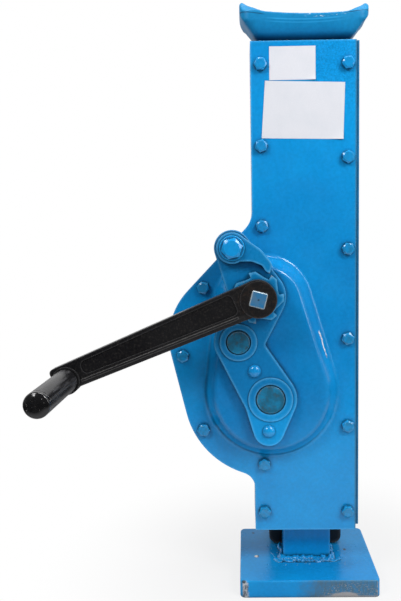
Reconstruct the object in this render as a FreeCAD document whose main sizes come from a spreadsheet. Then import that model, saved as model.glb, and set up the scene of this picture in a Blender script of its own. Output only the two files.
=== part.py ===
"""A rack and pinion jack for about five tonnes, in millimetres.

The rack stands welded on a foot plate, and the housing climbs it. The origin is the centre of
the foot plate's underside, +Z is up, and the crank side faces -Y. Depths in the formulas below
count from the rack's middle towards the crank, so a depth of 10 is y = -10.
"""
import FreeCAD, Part
import math
import os
import re

import Sketcher
from FreeCAD import Placement, Rotation, Vector

SIZES = {
    # Foot plate and rack
    "base_width": 175.0,
    "base_depth": 142.0,
    "base_thickness": 22.0,
    "base_corner": 7.0,
    "base_edge": 1.5,
    "rack_width": 62.0,
    "rack_depth": 30.0,
    "rack_offset": 1.0,
    "weld_size": 9.0,
    "weld_side": 4.0,
    # Rack teeth and the pinion that climbs them
    "pressure_angle": 25.0,
    "rack_module": 7.0,
    "rack_addendum": 6.3,
    "rack_dedendum": 7.9,
    "lift_height": 350.0,
    "pinion_teeth": 6,
    "pinion_shift": 2.55,
    "pinion_addendum": 5.4,
    "rack_play": 0.4,
    # The two gear stages between crank and rack pinion
    "crank_module": 3.0,
    "crank_pinion_teeth": 8,
    "lay_gear_teeth": 32,
    "main_module": 3.5,
    "lay_pinion_teeth": 8,
    "main_gear_teeth": 38,
    "gear_shift": 0.3,
    "tooth_foot": 1.25,
    "tooth_play": 0.2,
    "lay_gear_face": 18.0,
    "main_gear_face": 20.0,
    "pinion_overlap": 2.0,
    # Where the shafts are
    "pinion_height": 252.8,
    "layshaft_angle": 118.4,
    "crank_angle": 66.3,
    # Housing: cover, wall and rear plate
    "cover_left": 67.0,
    "cover_right": 61.4,
    "cover_bottom": 74.0,
    "head_room": 31.86,
    "wall_right": 65.5,
    "wall_bottom": 79.0,
    "chamber_front": 37.0,
    "chamber_back": 20.0,
    "cover_sheet": 4.0,
    "back_sheet": 4.0,
    "wall_sheet": 5.0,
    "neck_radius": 30.0,
    "diagonal_normal": 136.3,
    "layshaft_bulge": 87.5,
    "pinion_bulge": 108.5,
    "foot_normal": 250.0,
    "foot_radius": 20.0,
    "rack_clearance": 0.3,
    "mouth_clearance": 2.0,
    # Cover bolts and the threaded pillars behind them
    "bolt_right": 51.0,
    "bolt_left": 54.8,
    "bolt_low": 20.0,
    "bolt_top": 27.75,
    "neck_bolt": 84.75,
    "foot_bolt": 91.3,
    "upper_bolt_edge": 9.7,
    "upper_bolt_angle": 123.7,
    "side_bolt_edge": 14.1,
    "side_bolt_angle": 196.7,
    "lower_bolt_edge": 13.0,
    "lower_bolt_angle": 208.4,
    "bolt_thread": 8.0,
    "bolt_hex": 13.8,
    "bolt_head": 6.5,
    "bolt_reach": 20.0,
    "bolt_play": 0.2,
    "pillar_radius": 5.9,
    # Pressed bulge of the cover
    "dome_height": 20.0,
    "dome_slope": 14.0,
    "dome_low_radius": 84.0,
    "dome_low_x": 1.7,
    "dome_low_z": 4.2,
    "dome_high_radius": 61.0,
    "dome_high_x": 6.4,
    "dome_high_z": 11.5,
    "dome_round": 7.0,
    "dome_foot_round": 7.0,
    # Bearing bracket on the bulge
    "bracket_thickness": 9.0,
    "pawl_left": 30.2,
    "pawl_up": 59.0,
    "pawl_lobe": 21.7,
    "crank_lobe": 34.0,
    "layshaft_lobe": 30.0,
    "pinion_lobe": 32.5,
    "tail_lobe": 19.0,
    "layshaft_waist": 3.0,
    "tail_left": 2.4,
    "tail_down": 39.5,
    "bracket_hollow": 5.0,
    "rivet_radius": 5.0,
    "rivet_head_radius": 7.6,
    "rivet_head": 3.5,
    # Shafts, bushes and the rear bearing plate
    "crank_journal": 13.0,
    "layshaft_journal": 13.0,
    "pinion_journal": 16.0,
    "crank_tail": 9.0,
    "layshaft_tail": 10.5,
    "pinion_tail": 14.0,
    "layshaft_seat": 12.0,
    "pinion_seat": 16.5,
    "running_play": 0.05,
    "seat_play": 0.02,
    "bush_wall": 4.0,
    "bush_flange": 1.5,
    "bush_inside": 4.0,
    "bush_chamfer": 1.0,
    "crank_boss": 22.0,
    "layshaft_boss": 22.0,
    "pinion_boss": 26.0,
    "shaft_end": 0.6,
    "shaft_chamfer": 1.2,
    "collar_rise": 3.0,
    "collar_width": 4.0,
    "main_hub": 24.0,
    "end_play": 0.4,
    "rear_plate_thickness": 8.0,
    "rear_lobe": 12.0,
    # Ratchet wheel, pawl and its bolt
    "ratchet_teeth": 7,
    "ratchet_tip": 31.0,
    "ratchet_root": 25.0,
    "ratchet_face": 9.0,
    "ratchet_land": 15.0,
    "ratchet_turn": 58.5,
    "pawl_thickness": 9.0,
    "pawl_gap": 0.4,
    "pawl_eye": 18.7,
    "pawl_reach": 54.0,
    "pawl_arch": 18.0,
    "pawl_nose": 11.5,
    "pawl_pin": 7.0,
    "pawl_hex": 22.5,
    "pawl_head": 6.5,
    "washer_thickness": 1.5,
    "washer_radius": 15.0,
    "spacer_radius": 13.0,
    # Crank and grip
    "square_side": 18.4,
    "square_turn": 30.0,
    "square_play": 0.1,
    "square_chamfer": 0.8,
    "square_round": 2.0,
    "square_end": 2.2,
    "crank_radius": 243.0,
    "arm_turn": 202.2,
    "hub_radius": 21.5,
    "hub_proud": 0.8,
    "hub_step": 10.0,
    "arm_thickness": 13.0,
    "arm_wide": 20.5,
    "arm_narrow": 15.3,
    "arm_rise": 3.0,
    "arm_end": 15.0,
    "arm_corner": 5.0,
    "arm_edge": 1.2,
    "arm_bevel": 8.0,
    "arm_bevel_depth": 2.5,
    "grip_boss": 16.5,
    "grip_boss_height": 3.0,
    "grip_radius": 14.0,
    "grip_length": 108.0,
    "grip_round": 4.0,
    "grip_pin": 7.0,
    "grip_pin_head": 10.5,
    "grip_cap": 9.0,
    # Horn head and claw
    "head_half": 79.5,
    "head_foot_half": 56.0,
    "head_height": 51.5,
    "seat_height": 31.6,
    "horn_start": 55.0,
    "horn_rise": 5.0,
    "horn_thickness": 17.5,
    "head_gap": 3.0,
    "head_front": 32.0,
    "head_back": 20.0,
    "plinth_inset": 14.0,
    "seat_dip": 3.2,
    "seat_round": 30.0,
    "head_round": 18.0,
    "head_side_round": 14.0,
    "hull_round": 20.0,
    "horn_corner": 13.0,
    "horn_round": 3.5,
    "claw_left": 47.0,
    "claw_right": 52.0,
    "claw_low": 24.0,
    "claw_seat": 70.0,
    "claw_leg": 18.0,
    "claw_leg_top": 150.0,
    "claw_reach": 97.0,
    "claw_tip": 24.0,
    "claw_corner": 10.0,
    "claw_neck": 22.0,
    "claw_thread": 8.0,
    "claw_hex": 13.0,
    "claw_head": 5.3,
    # Rack guides inside the housing
    "guide_lip": 6.0,
    "guide_hold": 22.0,
    "guide_cheek": 11.0,
    "lower_guide_height": 40.0,
    "pinion_guide_height": 80.0,
    "guide_bolt_low": 10.0,
    "guide_bolt_pitch": 20.0,
}

# Places that follow from the driving sizes
RACK_LEFT = "(rack_offset - rack_width / 2)"
RACK_RIGHT = "(rack_offset + rack_width / 2)"
RACK_PITCH = "(pi * rack_module)"
RACK_GAPS = f"(floor(lift_height / {RACK_PITCH}) + 4)"
RACK_TOP = f"(pinion_height + {RACK_PITCH} * ({RACK_GAPS} - 1))"
HOUSING_TOP = f"({RACK_TOP} + head_room + wall_sheet)"
HEAD_SEAT = f"({HOUSING_TOP} + seat_height)"
HEAD_TIP = f"({HOUSING_TOP} + head_height)"
LOW_BOLT = "(wall_bottom + bolt_low)"
TOP_BOLT = f"({HOUSING_TOP} - bolt_top)"
PINION_X = f"({RACK_LEFT} + rack_addendum - rack_module * pinion_teeth / 2 - pinion_shift)"
PINION_Z = "pinion_height"
MAIN_DISTANCE = "(main_module * (lay_pinion_teeth + main_gear_teeth) / 2)"
LAY_X = f"({PINION_X} + {MAIN_DISTANCE} * cos(layshaft_angle))"
LAY_Z = f"(pinion_height + {MAIN_DISTANCE} * sin(layshaft_angle))"
CRANK_DISTANCE = "(crank_module * (crank_pinion_teeth + lay_gear_teeth) / 2)"
CRANK_X = f"({LAY_X} + {CRANK_DISTANCE} * cos(crank_angle))"
CRANK_Z = f"({LAY_Z} + {CRANK_DISTANCE} * sin(crank_angle))"
PAWL_X = f"({CRANK_X} - pawl_left)"
PAWL_Z = f"({CRANK_Z} + pawl_up)"
TAIL_X = f"({PINION_X} - tail_left)"
TAIL_Z = "(pinion_height - tail_down)"
MIDDLE_X = f"(({LAY_X} + {PINION_X}) / 2)"
MIDDLE_Z = f"(({LAY_Z} + {PINION_Z}) / 2)"
GRIP_X = f"({CRANK_X} + crank_radius * cos(arm_turn))"
GRIP_Z = f"({CRANK_Z} + crank_radius * sin(arm_turn))"

# Depths towards the crank, one layer upon the other
RACK_FRONT = "(rack_depth / 2)"
COVER_FRONT = "(chamber_front + cover_sheet)"
DOME_TOP = f"({COVER_FRONT} + dome_height)"
BRACKET_FRONT = f"({DOME_TOP} + bracket_thickness)"
BUSH_FRONT = f"({BRACKET_FRONT} + bush_flange)"
BUSH_BACK = f"({DOME_TOP} - cover_sheet - bush_inside)"
SHAFT_FRONT = f"({BUSH_FRONT} + shaft_end)"
RATCHET_BACK = f"({BUSH_FRONT} + pawl_gap)"
RATCHET_FRONT = f"({RATCHET_BACK} + ratchet_face)"
PAWL_BACK = f"({BRACKET_FRONT} + pawl_gap)"
PAWL_FRONT = f"({PAWL_BACK} + pawl_thickness)"
WASHER_BACK = f"({PAWL_FRONT} + pawl_gap)"
WASHER_FRONT = f"({WASHER_BACK} + washer_thickness)"
ARM_BACK = f"({RATCHET_FRONT} + hub_step)"
ARM_FRONT = f"({ARM_BACK} + arm_thickness)"
GRIP_BACK = f"({ARM_FRONT} + grip_boss_height + pawl_gap)"
GRIP_FRONT = f"({GRIP_BACK} + grip_length)"
MAIN_BACK = f"({RACK_FRONT} + 2 * end_play + guide_lip + pinion_overlap)"
MAIN_FRONT = f"({MAIN_BACK} + main_gear_face)"
REAR_FACE = "(chamber_back + back_sheet)"
REAR_END = f"({REAR_FACE} + rear_plate_thickness)"

# The shafts: place, front journal, rear journal and boss of each
SHAFTS = {
    "crank": (CRANK_X, CRANK_Z, "crank_journal", "crank_tail", "crank_boss"),
    "layshaft": (LAY_X, LAY_Z, "layshaft_journal", "layshaft_tail", "layshaft_boss"),
    "pinion": (PINION_X, PINION_Z, "pinion_journal", "pinion_tail", "pinion_boss"),
}

doc = FreeCAD.newDocument("rack_jack")
sheet = doc.addObject("Spreadsheet::Sheet", "Sizes")
for row, (size_name, size) in enumerate(SIZES.items(), start=1):
    sheet.set(f"A{row}", size_name)
    sheet.set(f"B{row}", str(size))
    sheet.setAlias(f"B{row}", size_name)
doc.recompute()

NODES = []
WORD = re.compile(r"[a-z][a-z_]*")


def cells(formula):
    """The formula with each size's name pointing at its cell in the sheet."""
    return WORD.sub(lambda word: "Sizes." + word[0] if word[0] in SIZES else word[0], formula)


def value(formula):
    """What a formula of sizes comes to."""
    return float(sheet.evalExpression(cells(formula)))


def bind(item, formulas):
    """Ties properties of an object to formulas of sizes."""
    for path, formula in formulas.items():
        item.setExpression(path, cells(formula))


def node(item, name):
    """Names a finished sub-part, which is then written under that name."""
    item.Label = name
    NODES.append(item)
    return item


def polar(x, z, radius, angle):
    """The place at a radius and an angle from a centre, angles from +X towards +Z."""
    return f"({x} + {radius} * cos({angle}))", f"({z} + {radius} * sin({angle}))"


# Sketches


def new_sketch(body, role, offset=None):
    """A sketch on one of the body's own planes, moved along its normal."""
    sketch = body.newObject("Sketcher::SketchObject", "Sketch")
    plane = next(f for f in body.Origin.OriginFeatures if f.Role == role)
    sketch.AttachmentSupport = [(plane, "")]
    sketch.MapMode = "FlatFace"
    if offset:
        bind(sketch, {"AttachmentOffset.Base.z": offset})
    return sketch


def constrain(sketch, constraints, ties):
    """Adds constraints, and ties the listed ones to formulas."""
    start = sketch.ConstraintCount
    sketch.addConstraint(constraints)
    for index, formula in ties:
        bind(sketch, {f"Constraints[{start + index}]": formula})


def place_point(geometry, position, x, y, constraints, ties):
    """Holds a sketch point at two formulas."""
    for kind, formula in (("DistanceX", x), ("DistanceY", y)):
        ties.append((len(constraints), formula))
        constraints.append(Sketcher.Constraint(kind, -1, 1, geometry, position, value(formula)))


def draw_circle(sketch, x, y, radius):
    """A circle at two formulas."""
    centre = Vector(value(x), value(y), 0)
    circle = sketch.addGeometry(Part.Circle(centre, Vector(0, 0, 1), value(radius)), False)
    constraints, ties = [], []
    place_point(circle, 3, x, y, constraints, ties)
    ties.append((len(constraints), radius))
    constraints.append(Sketcher.Constraint("Radius", circle, value(radius)))
    constrain(sketch, constraints, ties)


def draw_capsule(sketch, first, second):
    """The outline around two circles, each given as x, y and radius, with tangent sides."""
    ends = []
    for x, y, radius in (first, second):
        ends.append((Vector(value(x), value(y), 0), value(radius)))
    (one, one_radius), (two, two_radius) = ends
    along = math.atan2(two.y - one.y, two.x - one.x)
    lean = math.acos((one_radius - two_radius) / one.distanceToPoint(two))
    upper, lower = along + lean, along - lean
    up = Vector(0, 0, 1)
    turns = ((one, one_radius, upper, lower + 2 * math.pi), (two, two_radius, lower, upper))
    arcs = []
    for centre, radius, begin, finish in turns:
        arcs.append(sketch.addGeometry(Part.ArcOfCircle(Part.Circle(centre, up, radius), begin, finish)))

    def on_circle(centre, radius, angle):
        return centre + Vector(radius * math.cos(angle), radius * math.sin(angle), 0)

    sides = []
    for angle in (upper, lower):
        tangent = Part.LineSegment(on_circle(one, one_radius, angle), on_circle(two, two_radius, angle))
        sides.append(sketch.addGeometry(tangent))
    constraints, ties = [], []
    for arc, (x, y, radius) in zip(arcs, (first, second)):
        place_point(arc, 3, x, y, constraints, ties)
        ties.append((len(constraints), radius))
        constraints.append(Sketcher.Constraint("Radius", arc, value(radius)))
    constraints.append(Sketcher.Constraint("Tangent", arcs[0], 1, sides[0], 1))
    constraints.append(Sketcher.Constraint("Tangent", arcs[0], 2, sides[1], 1))
    constraints.append(Sketcher.Constraint("Tangent", arcs[1], 2, sides[0], 2))
    constraints.append(Sketcher.Constraint("Tangent", arcs[1], 1, sides[1], 2))
    constrain(sketch, constraints, ties)


def draw_loop(sketch, corners):
    """A closed outline of straight sides. Each corner is x, y and, if rounded, its radius."""
    count = len(corners)
    points = [Vector(value(c[0]), value(c[1]), 0) for c in corners]
    radii = [value(c[2]) if len(c) > 2 else 0 for c in corners]
    entries, exits, rounds = [], [], []
    for i, (point, radius) in enumerate(zip(points, radii)):
        arriving = (point - points[i - 1]).normalize()
        leaving = (points[(i + 1) % count] - point).normalize()
        reach = radius * math.tan(arriving.getAngle(leaving) / 2)
        entry, leave = point - arriving * reach, point + leaving * reach
        entries.append(entry)
        exits.append(leave)
        if radius:
            left = arriving.cross(leaving).z > 0
            side = Vector(-arriving.y, arriving.x, 0) * (1 if left else -1)
            centre = entry + side * radius
            ordered = (entry, leave) if left else (leave, entry)
            angles = [math.atan2(p.y - centre.y, p.x - centre.x) for p in ordered]
            rounds.append((Part.Circle(centre, Vector(0, 0, 1), radius), angles, left))
        else:
            rounds.append(None)
    lines = []
    for i in range(count):
        segment = Part.LineSegment(exits[i], entries[(i + 1) % count])
        lines.append(sketch.addGeometry(segment, False))
    constraints, ties = [], []
    for i, corner in enumerate(corners):
        before, after = lines[i - 1], lines[i]
        if rounds[i] is None:
            constraints.append(Sketcher.Constraint("Coincident", before, 2, after, 1))
            place_point(after, 1, corner[0], corner[1], constraints, ties)
            continue
        circle, angles, left = rounds[i]
        arc = sketch.addGeometry(Part.ArcOfCircle(circle, *angles), False)
        mark = sketch.addGeometry(Part.Point(points[i]), True)
        place_point(mark, 1, corner[0], corner[1], constraints, ties)
        constraints.append(Sketcher.Constraint("PointOnObject", mark, 1, before))
        constraints.append(Sketcher.Constraint("PointOnObject", mark, 1, after))
        first, last = (1, 2) if left else (2, 1)
        constraints.append(Sketcher.Constraint("Tangent", before, 2, arc, first))
        constraints.append(Sketcher.Constraint("Tangent", arc, last, after, 1))
        ties.append((len(constraints), corner[2]))
        constraints.append(Sketcher.Constraint("Radius", arc, value(corner[2])))
    constrain(sketch, constraints, ties)


def rectangle(left, right, low, high, *radius):
    """The corners of an upright rectangle."""
    return [(left, low, *radius), (right, low, *radius), (right, high, *radius), (left, high, *radius)]


# Features


def new_body(name):
    """An empty body."""
    return doc.addObject("PartDesign::Body", name)


def pad(body, sketch, length):
    """Thickens a sketch along its normal."""
    feature = body.newObject("PartDesign::Pad", "Pad")
    feature.Profile = sketch
    bind(feature, {"Length": length})
    return feature


def pocket(body, sketch, length):
    """Cuts a sketch into the body, against its normal."""
    before = body.Shape.Volume if body.Tip else 0
    feature = body.newObject("PartDesign::Pocket", "Pocket")
    feature.Profile = sketch
    bind(feature, {"Length": length})
    doc.recompute()
    if body.Shape.Volume >= before:
        raise RuntimeError(f"{body.Name}: a pocket cuts nothing")
    return feature


def dress(body, kind, edges, sizes):
    """A fillet or chamfer on the edges of the body's tip that pass a test."""
    doc.recompute()
    tip = body.Tip
    names = [f"Edge{i}" for i, edge in enumerate(tip.Shape.Edges, start=1) if edges(edge)]
    if not names:
        raise RuntimeError(f"{body.Name}: no edge to dress")
    feature = body.newObject(f"PartDesign::{kind}", kind)
    feature.Base = (tip, names)
    bind(feature, sizes)
    doc.recompute()
    return feature


def upright(axis):
    """A test for straight edges along an axis."""
    def test(edge):
        ends = [v.Point for v in edge.Vertexes]
        if len(ends) != 2:
            return False
        return abs((ends[1] - ends[0]).normalize().dot(axis)) > 0.999
    return test


def in_plane(axis, level):
    """A test for edges that lie flat at a level along an axis."""
    height = value(level)

    def test(edge):
        box = edge.BoundBox
        low, high = Vector(box.XMin, box.YMin, box.ZMin), Vector(box.XMax, box.YMax, box.ZMax)
        return max(abs(low.dot(axis) - height), abs(high.dot(axis) - height)) < 0.01
    return test


def hollow_corner(shape, axis):
    """A test for edges along an axis that lie in an inner corner of a shape."""
    along = upright(axis)
    probe = 0.2

    def test(edge):
        if not along(edge):
            return False
        middle = edge.CenterOfMass
        across = Vector(1, 0, 0) if abs(axis.x) < 0.5 else Vector(0, 1, 0)
        inside = 0
        for step in range(24):
            turn = Rotation(axis, 15 * step)
            inside += shape.isInside(middle + turn.multVec(across) * probe, 0.001, False)
        return inside > 13
    return test


def turned(name, x, z, profile):
    """A turned piece about an axis along Y. The profile is radius and y, point by point."""
    body = new_body(name)
    sketch = new_sketch(body, "XY_Plane")
    draw_loop(sketch, profile)
    feature = body.newObject("PartDesign::Revolution", "Revolution")
    feature.Profile = sketch
    feature.ReferenceAxis = (sketch, ["V_Axis"])
    feature.Angle = 360
    bind(body, {"Placement.Base.x": x, "Placement.Base.z": z})
    return body


def ring(name, x, z, inner, outer, front, back):
    """A plain ring between two depths."""
    return turned(name, x, z, rectangle(inner, outer, f"-({front})", f"-({back})"))


def box(name, x, y, z):
    """A box between two formulas on each axis."""
    item = doc.addObject("Part::Box", name)
    for side, (low, high) in zip(("Length", "Width", "Height"), (x, y, z)):
        bind(item, {side: f"({high}) - ({low})"})
    bind(item, {"Placement.Base.x": x[0], "Placement.Base.y": y[0], "Placement.Base.z": z[0]})
    return item


def rod(name, x, z, radius, front, back):
    """A round rod along Y between two depths."""
    item = doc.addObject("Part::Cylinder", name)
    item.Placement = Placement(Vector(), Rotation(Vector(1, 0, 0), -90))
    bind(item, {"Radius": radius, "Height": f"({front}) - ({back})"})
    bind(item, {"Placement.Base.x": x, "Placement.Base.y": f"-({front})", "Placement.Base.z": z})
    return item


def cut(base, tool, name):
    """One piece less another."""
    item = doc.addObject("Part::Cut", name)
    item.Base, item.Tool = base, tool
    return item


def fuse(pieces, name):
    """Several pieces as one solid."""
    item = doc.addObject("Part::MultiFuse", name)
    item.Shapes = pieces
    return item


def group(pieces, name):
    """Like pieces that stay separate solids."""
    item = doc.addObject("Part::Compound", name)
    item.Links = pieces
    return item


def hex_bolt(name, x, z, seat, facing, sizes, turn):
    """A hexagon bolt whose head sits at a y level and faces -Y (-1) or +Y (1)."""
    thread, hexagon, head, reach = sizes
    to_axis = Rotation(Vector(1, 0, 0), -90 * facing)
    flat = f"({hexagon}) / 2"
    prism = doc.addObject("Part::Prism", f"{name}_hexagon")
    prism.Polygon = 6
    prism.Placement = Placement(Vector(), to_axis * Rotation(Vector(0, 0, 1), turn))
    bind(prism, {"Circumradius": f"{flat} / cos(30)", "Height": head})
    cone = doc.addObject("Part::Cone", f"{name}_chamfer")
    cone.Placement = Placement(Vector(), to_axis)
    bind(cone, {"Radius1": f"{flat} + {head} / tan(30)", "Radius2": flat, "Height": head})
    shank = doc.addObject("Part::Cylinder", f"{name}_shank")
    shank.Placement = Placement(Vector(), Rotation(Vector(1, 0, 0), 90 * facing))
    bind(shank, {"Radius": f"({thread}) / 2", "Height": reach})
    for item in (prism, cone, shank):
        bind(item, {"Placement.Base.x": x, "Placement.Base.y": seat, "Placement.Base.z": z})
    crown = doc.addObject("Part::Common", f"{name}_head")
    crown.Base, crown.Tool = prism, cone
    return fuse([crown, shank], name)


def gear(name, place, tooth, circles, phase, depths):
    """A spur gear with involute flanks, each drawn as one arc. The phase is a tooth's direction.

    tooth is module, count, profile shift and play; circles are tip and root radius.
    """
    x, z = (value(f) for f in place)
    module, count, shift, play = (value(f) for f in tooth)
    tip, root = (value(f) for f in circles)
    front, back = (value(f) for f in depths)
    pressure = math.radians(value("pressure_angle"))
    pitch = module * count / 2
    base = pitch * math.cos(pressure)
    start = max(base, root)

    def involute(angle):
        return math.tan(angle) - angle

    half_pitch = (math.pi / 2 + 2 * shift / module * math.tan(pressure)) / count - play / (2 * pitch)

    def half_tooth(radius):
        return half_pitch + involute(pressure) - involute(math.acos(base / radius))

    def point(radius, angle):
        return Vector(x + radius * math.cos(angle), -front, z + radius * math.sin(angle))

    middle = (start + tip) / 2
    step = 2 * math.pi / count
    edges = []
    for k in range(int(count)):
        aim = math.radians(value(phase)) + k * step
        low = [point(r, aim - half_tooth(r)) for r in (start, middle, tip)]
        high = [point(r, aim + half_tooth(r)) for r in (tip, middle, start)]
        feet = [point(root, aim + side * half_tooth(start)) for side in (-1, 1)]
        valley = [point(root, aim + step / 2), point(root, aim + step - half_tooth(start))]
        if root < base - 0.001:
            edges.append(Part.LineSegment(feet[0], low[0]))
        edges.append(Part.Arc(*low))
        edges.append(Part.Arc(low[2], point(tip, aim), high[0]))
        edges.append(Part.Arc(*high))
        if root < base - 0.001:
            edges.append(Part.LineSegment(high[2], feet[1]))
        edges.append(Part.Arc(feet[1], *valley))
    outline = Part.Wire(Part.__sortEdges__([edge.toShape() for edge in edges]))
    item = doc.addObject("Part::Feature", name)
    item.Shape = Part.Face(outline).extrude(Vector(0, front - back, 0))
    return item


def plate(name, back, front, *outlines):
    """A body of plates between two depths, one for each outline, joined where they overlap."""
    body = new_body(name)
    for draw, shape in outlines:
        sketch = new_sketch(body, "XZ_Plane", back)
        draw(sketch, *shape)
        pad(body, sketch, f"({front}) - ({back})")
    doc.recompute()
    return body


def bores(body, front, depth, circles):
    """Round holes into a plate from a depth, each given as x, z and radius."""
    sketch = new_sketch(body, "XZ_Plane", front)
    for circle in circles:
        draw_circle(sketch, *circle)
    return pocket(body, sketch, depth)


def loft(body, kind, first, second):
    """Solid or hollow between two sketches, straight from one to the other."""
    feature = body.newObject(f"PartDesign::{kind}", kind)
    feature.Profile = first
    feature.Sections = [second]
    feature.Ruled = True
    doc.recompute()
    return feature


# Foot plate and rack


def base_plate():
    body = new_body("base_plate")
    sketch = new_sketch(body, "XY_Plane")
    half = ("-base_width / 2", "base_width / 2", "-base_depth / 2", "base_depth / 2")
    draw_loop(sketch, rectangle(*half, "base_corner"))
    pad(body, sketch, "base_thickness")
    top = in_plane(Vector(0, 0, 1), "base_thickness")
    dress(body, "Fillet", top, {"Radius": "base_edge"})
    node(body, "base_plate")


def rack_bar():
    body = new_body("rack_bar")
    sketch = new_sketch(body, "XZ_Plane", f"-{RACK_FRONT}")
    draw_loop(sketch, rectangle(RACK_LEFT, RACK_RIGHT, "base_thickness", RACK_TOP))
    pad(body, sketch, "rack_depth")
    doc.recompute()
    half_gap = f"({RACK_PITCH} / 4 + rack_play / 2)"
    mouth = f"({half_gap} + rack_addendum * tan(pressure_angle))"
    floor = f"({half_gap} - rack_dedendum * tan(pressure_angle))"
    first = f"(pinion_height - {RACK_PITCH})"
    deep = f"({RACK_LEFT} + rack_addendum + rack_dedendum)"
    sketch = new_sketch(body, "XZ_Plane", RACK_FRONT)
    draw_loop(sketch, [
        (RACK_LEFT, f"{first} - {mouth}"), (deep, f"{first} - {floor}"),
        (deep, f"{first} + {floor}"), (RACK_LEFT, f"{first} + {mouth}")])
    gap = pocket(body, sketch, "rack_depth")
    row = body.newObject("PartDesign::LinearPattern", "teeth")
    row.Originals = [gap]
    row.Direction = (sketch, ["V_Axis"])
    bind(row, {"Length": f"{RACK_PITCH} * ({RACK_GAPS} - 1)", "Occurrences": RACK_GAPS})
    body.Tip = row
    doc.recompute()
    node(body, "rack_bar")


def rack_weld():
    bead = doc.addObject("Part::Wedge", "weld_bead")
    foot = "base_thickness"
    bind(bead, {
        "Xmin": f"{RACK_LEFT} - weld_side", "Xmax": f"{RACK_RIGHT} + weld_side",
        "Zmin": "-rack_depth / 2 - weld_size", "Zmax": "rack_depth / 2 + weld_size",
        "Ymin": "0", "Ymax": "weld_size",
        "X2min": RACK_LEFT, "X2max": RACK_RIGHT,
        "Z2min": "-rack_depth / 2", "Z2max": "rack_depth / 2"})
    bead.Placement = Placement(Vector(), Rotation(Vector(1, 0, 0), 90))
    bind(bead, {"Placement.Base.z": foot})
    core = box("weld_core", (RACK_LEFT, RACK_RIGHT), ("-rack_depth / 2", "rack_depth / 2"),
               (foot, f"{foot} + weld_size"))
    node(cut(bead, core, "weld"), "rack_weld")


# Housing

SIDE_NORMAL = (f"(layshaft_angle + 180 - acos((layshaft_bulge - pinion_bulge) / {MAIN_DISTANCE})"
               " / 1deg)")


def housing_outline(right, bottom, inset="0"):
    """The housing's outline: straight sides, and arcs about layshaft and pinion on the left."""
    left, top = f"(-cover_left + {inset})", f"({HOUSING_TOP} - {inset})"
    low = f"({bottom} + {inset})"
    upper, lower = f"(layshaft_bulge - {inset})", f"(pinion_bulge - {inset})"
    neck = f"({LAY_Z} + ({upper} - ({left} - {LAY_X}) * cos(diagonal_normal)) / sin(diagonal_normal))"
    foot = f"(pinion_height + ({lower} - ({left} - {PINION_X}) * cos(foot_normal)) / sin(foot_normal))"

    def tangent_corner(x, z, radius, one, two):
        return (*polar(x, z, f"{radius} / cos(({two} - {one}) / 2)", f"(({one} + {two}) / 2)"), radius)

    return [
        (left, top),
        (left, neck, f"(neck_radius + {inset})"),
        tangent_corner(LAY_X, LAY_Z, upper, "diagonal_normal", SIDE_NORMAL),
        tangent_corner(PINION_X, PINION_Z, lower, SIDE_NORMAL, "foot_normal"),
        (left, foot, f"(foot_radius + {inset})"),
        (left, low),
        (f"({right} - {inset})", low),
        (f"({right} - {inset})", top)]


def bolt_places():
    """The cover bolts: two columns and three around the bulge."""
    neck = f"({CRANK_Z} + neck_bolt)"
    places = [("bolt_right", f"({LOW_BOLT} + ({TOP_BOLT} - {LOW_BOLT}) * {i} / 5)") for i in range(6)]
    places += [("(-bolt_left)", f"({neck} + ({TOP_BOLT} - {neck}) * {i} / 2)") for i in range(3)]
    places += [("(-bolt_left)", "(pinion_height - foot_bolt)"), ("(-bolt_left)", LOW_BOLT)]
    places.append(polar(LAY_X, LAY_Z, "(layshaft_bulge - upper_bolt_edge)", "upper_bolt_angle"))
    places.append(polar(LAY_X, LAY_Z, "(layshaft_bulge - side_bolt_edge)", "side_bolt_angle"))
    places.append(polar(PINION_X, PINION_Z, "(pinion_bulge - lower_bolt_edge)", "lower_bolt_angle"))
    return places


def claw_bolt_places():
    """The four bolts that hold the claw, two in each cheek of the lower guide."""
    left = f"({RACK_LEFT} - rack_clearance - guide_cheek / 2)"
    right = f"({RACK_RIGHT} + rack_clearance + guide_cheek / 2)"
    low = "(wall_bottom + wall_sheet + guide_bolt_low)"
    return [(x, z) for x in (left, right) for z in (low, f"({low} + guide_bolt_pitch)")]


def rear_plate():
    outline = housing_outline("wall_right", "wall_bottom")
    body = plate("rear_plate", f"-{REAR_FACE}", "-chamber_back", (draw_loop, [outline]))
    holes = [(x, z, f"({tail} + bush_wall)") for x, z, _, tail, _ in SHAFTS.values()]
    holes += [(x, z, "(claw_thread / 2 + bolt_play)") for x, z in claw_bolt_places()]
    holes += [(x, z, "rivet_radius + seat_play") for x, z in rear_rivet_places()]
    bores(body, "-chamber_back", "back_sheet", holes)
    node(body, "rear_plate")


def housing_walls():
    across = ("-chamber_front", "chamber_back")
    low, high = "(wall_bottom + wall_sheet)", f"({HOUSING_TOP} - wall_sheet)"
    inside = "(wall_right - wall_sheet)"
    node(box("right_strip", (inside, "wall_right"), across, ("wall_bottom", HOUSING_TOP)), "wall_right")
    node(box("top_strip", ("-cover_left", inside), across, (high, HOUSING_TOP)), "wall_top")
    floor = box("bottom_strip", ("-cover_left", inside), across, ("wall_bottom", low))
    edge = f"({RACK_FRONT} + mouth_clearance)"
    mouth = box("rack_mouth", (f"{RACK_LEFT} - mouth_clearance", f"{RACK_RIGHT} + mouth_clearance"),
                (f"-{edge}", edge), ("wall_bottom", low))
    node(cut(floor, mouth, "bottom_with_mouth"), "wall_bottom")
    outer = housing_outline("wall_right", "wall_bottom")[1:5]
    inner = housing_outline("wall_right", "wall_bottom", "wall_sheet")[1:5]
    left, lining = "-cover_left", "-cover_left + wall_sheet"
    strip = [(left, high), *outer, (left, low), (lining, low), *reversed(inner), (lining, high)]
    node(plate("left_strip", "-chamber_back", "chamber_front", (draw_loop, [strip])), "wall_left")


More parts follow.
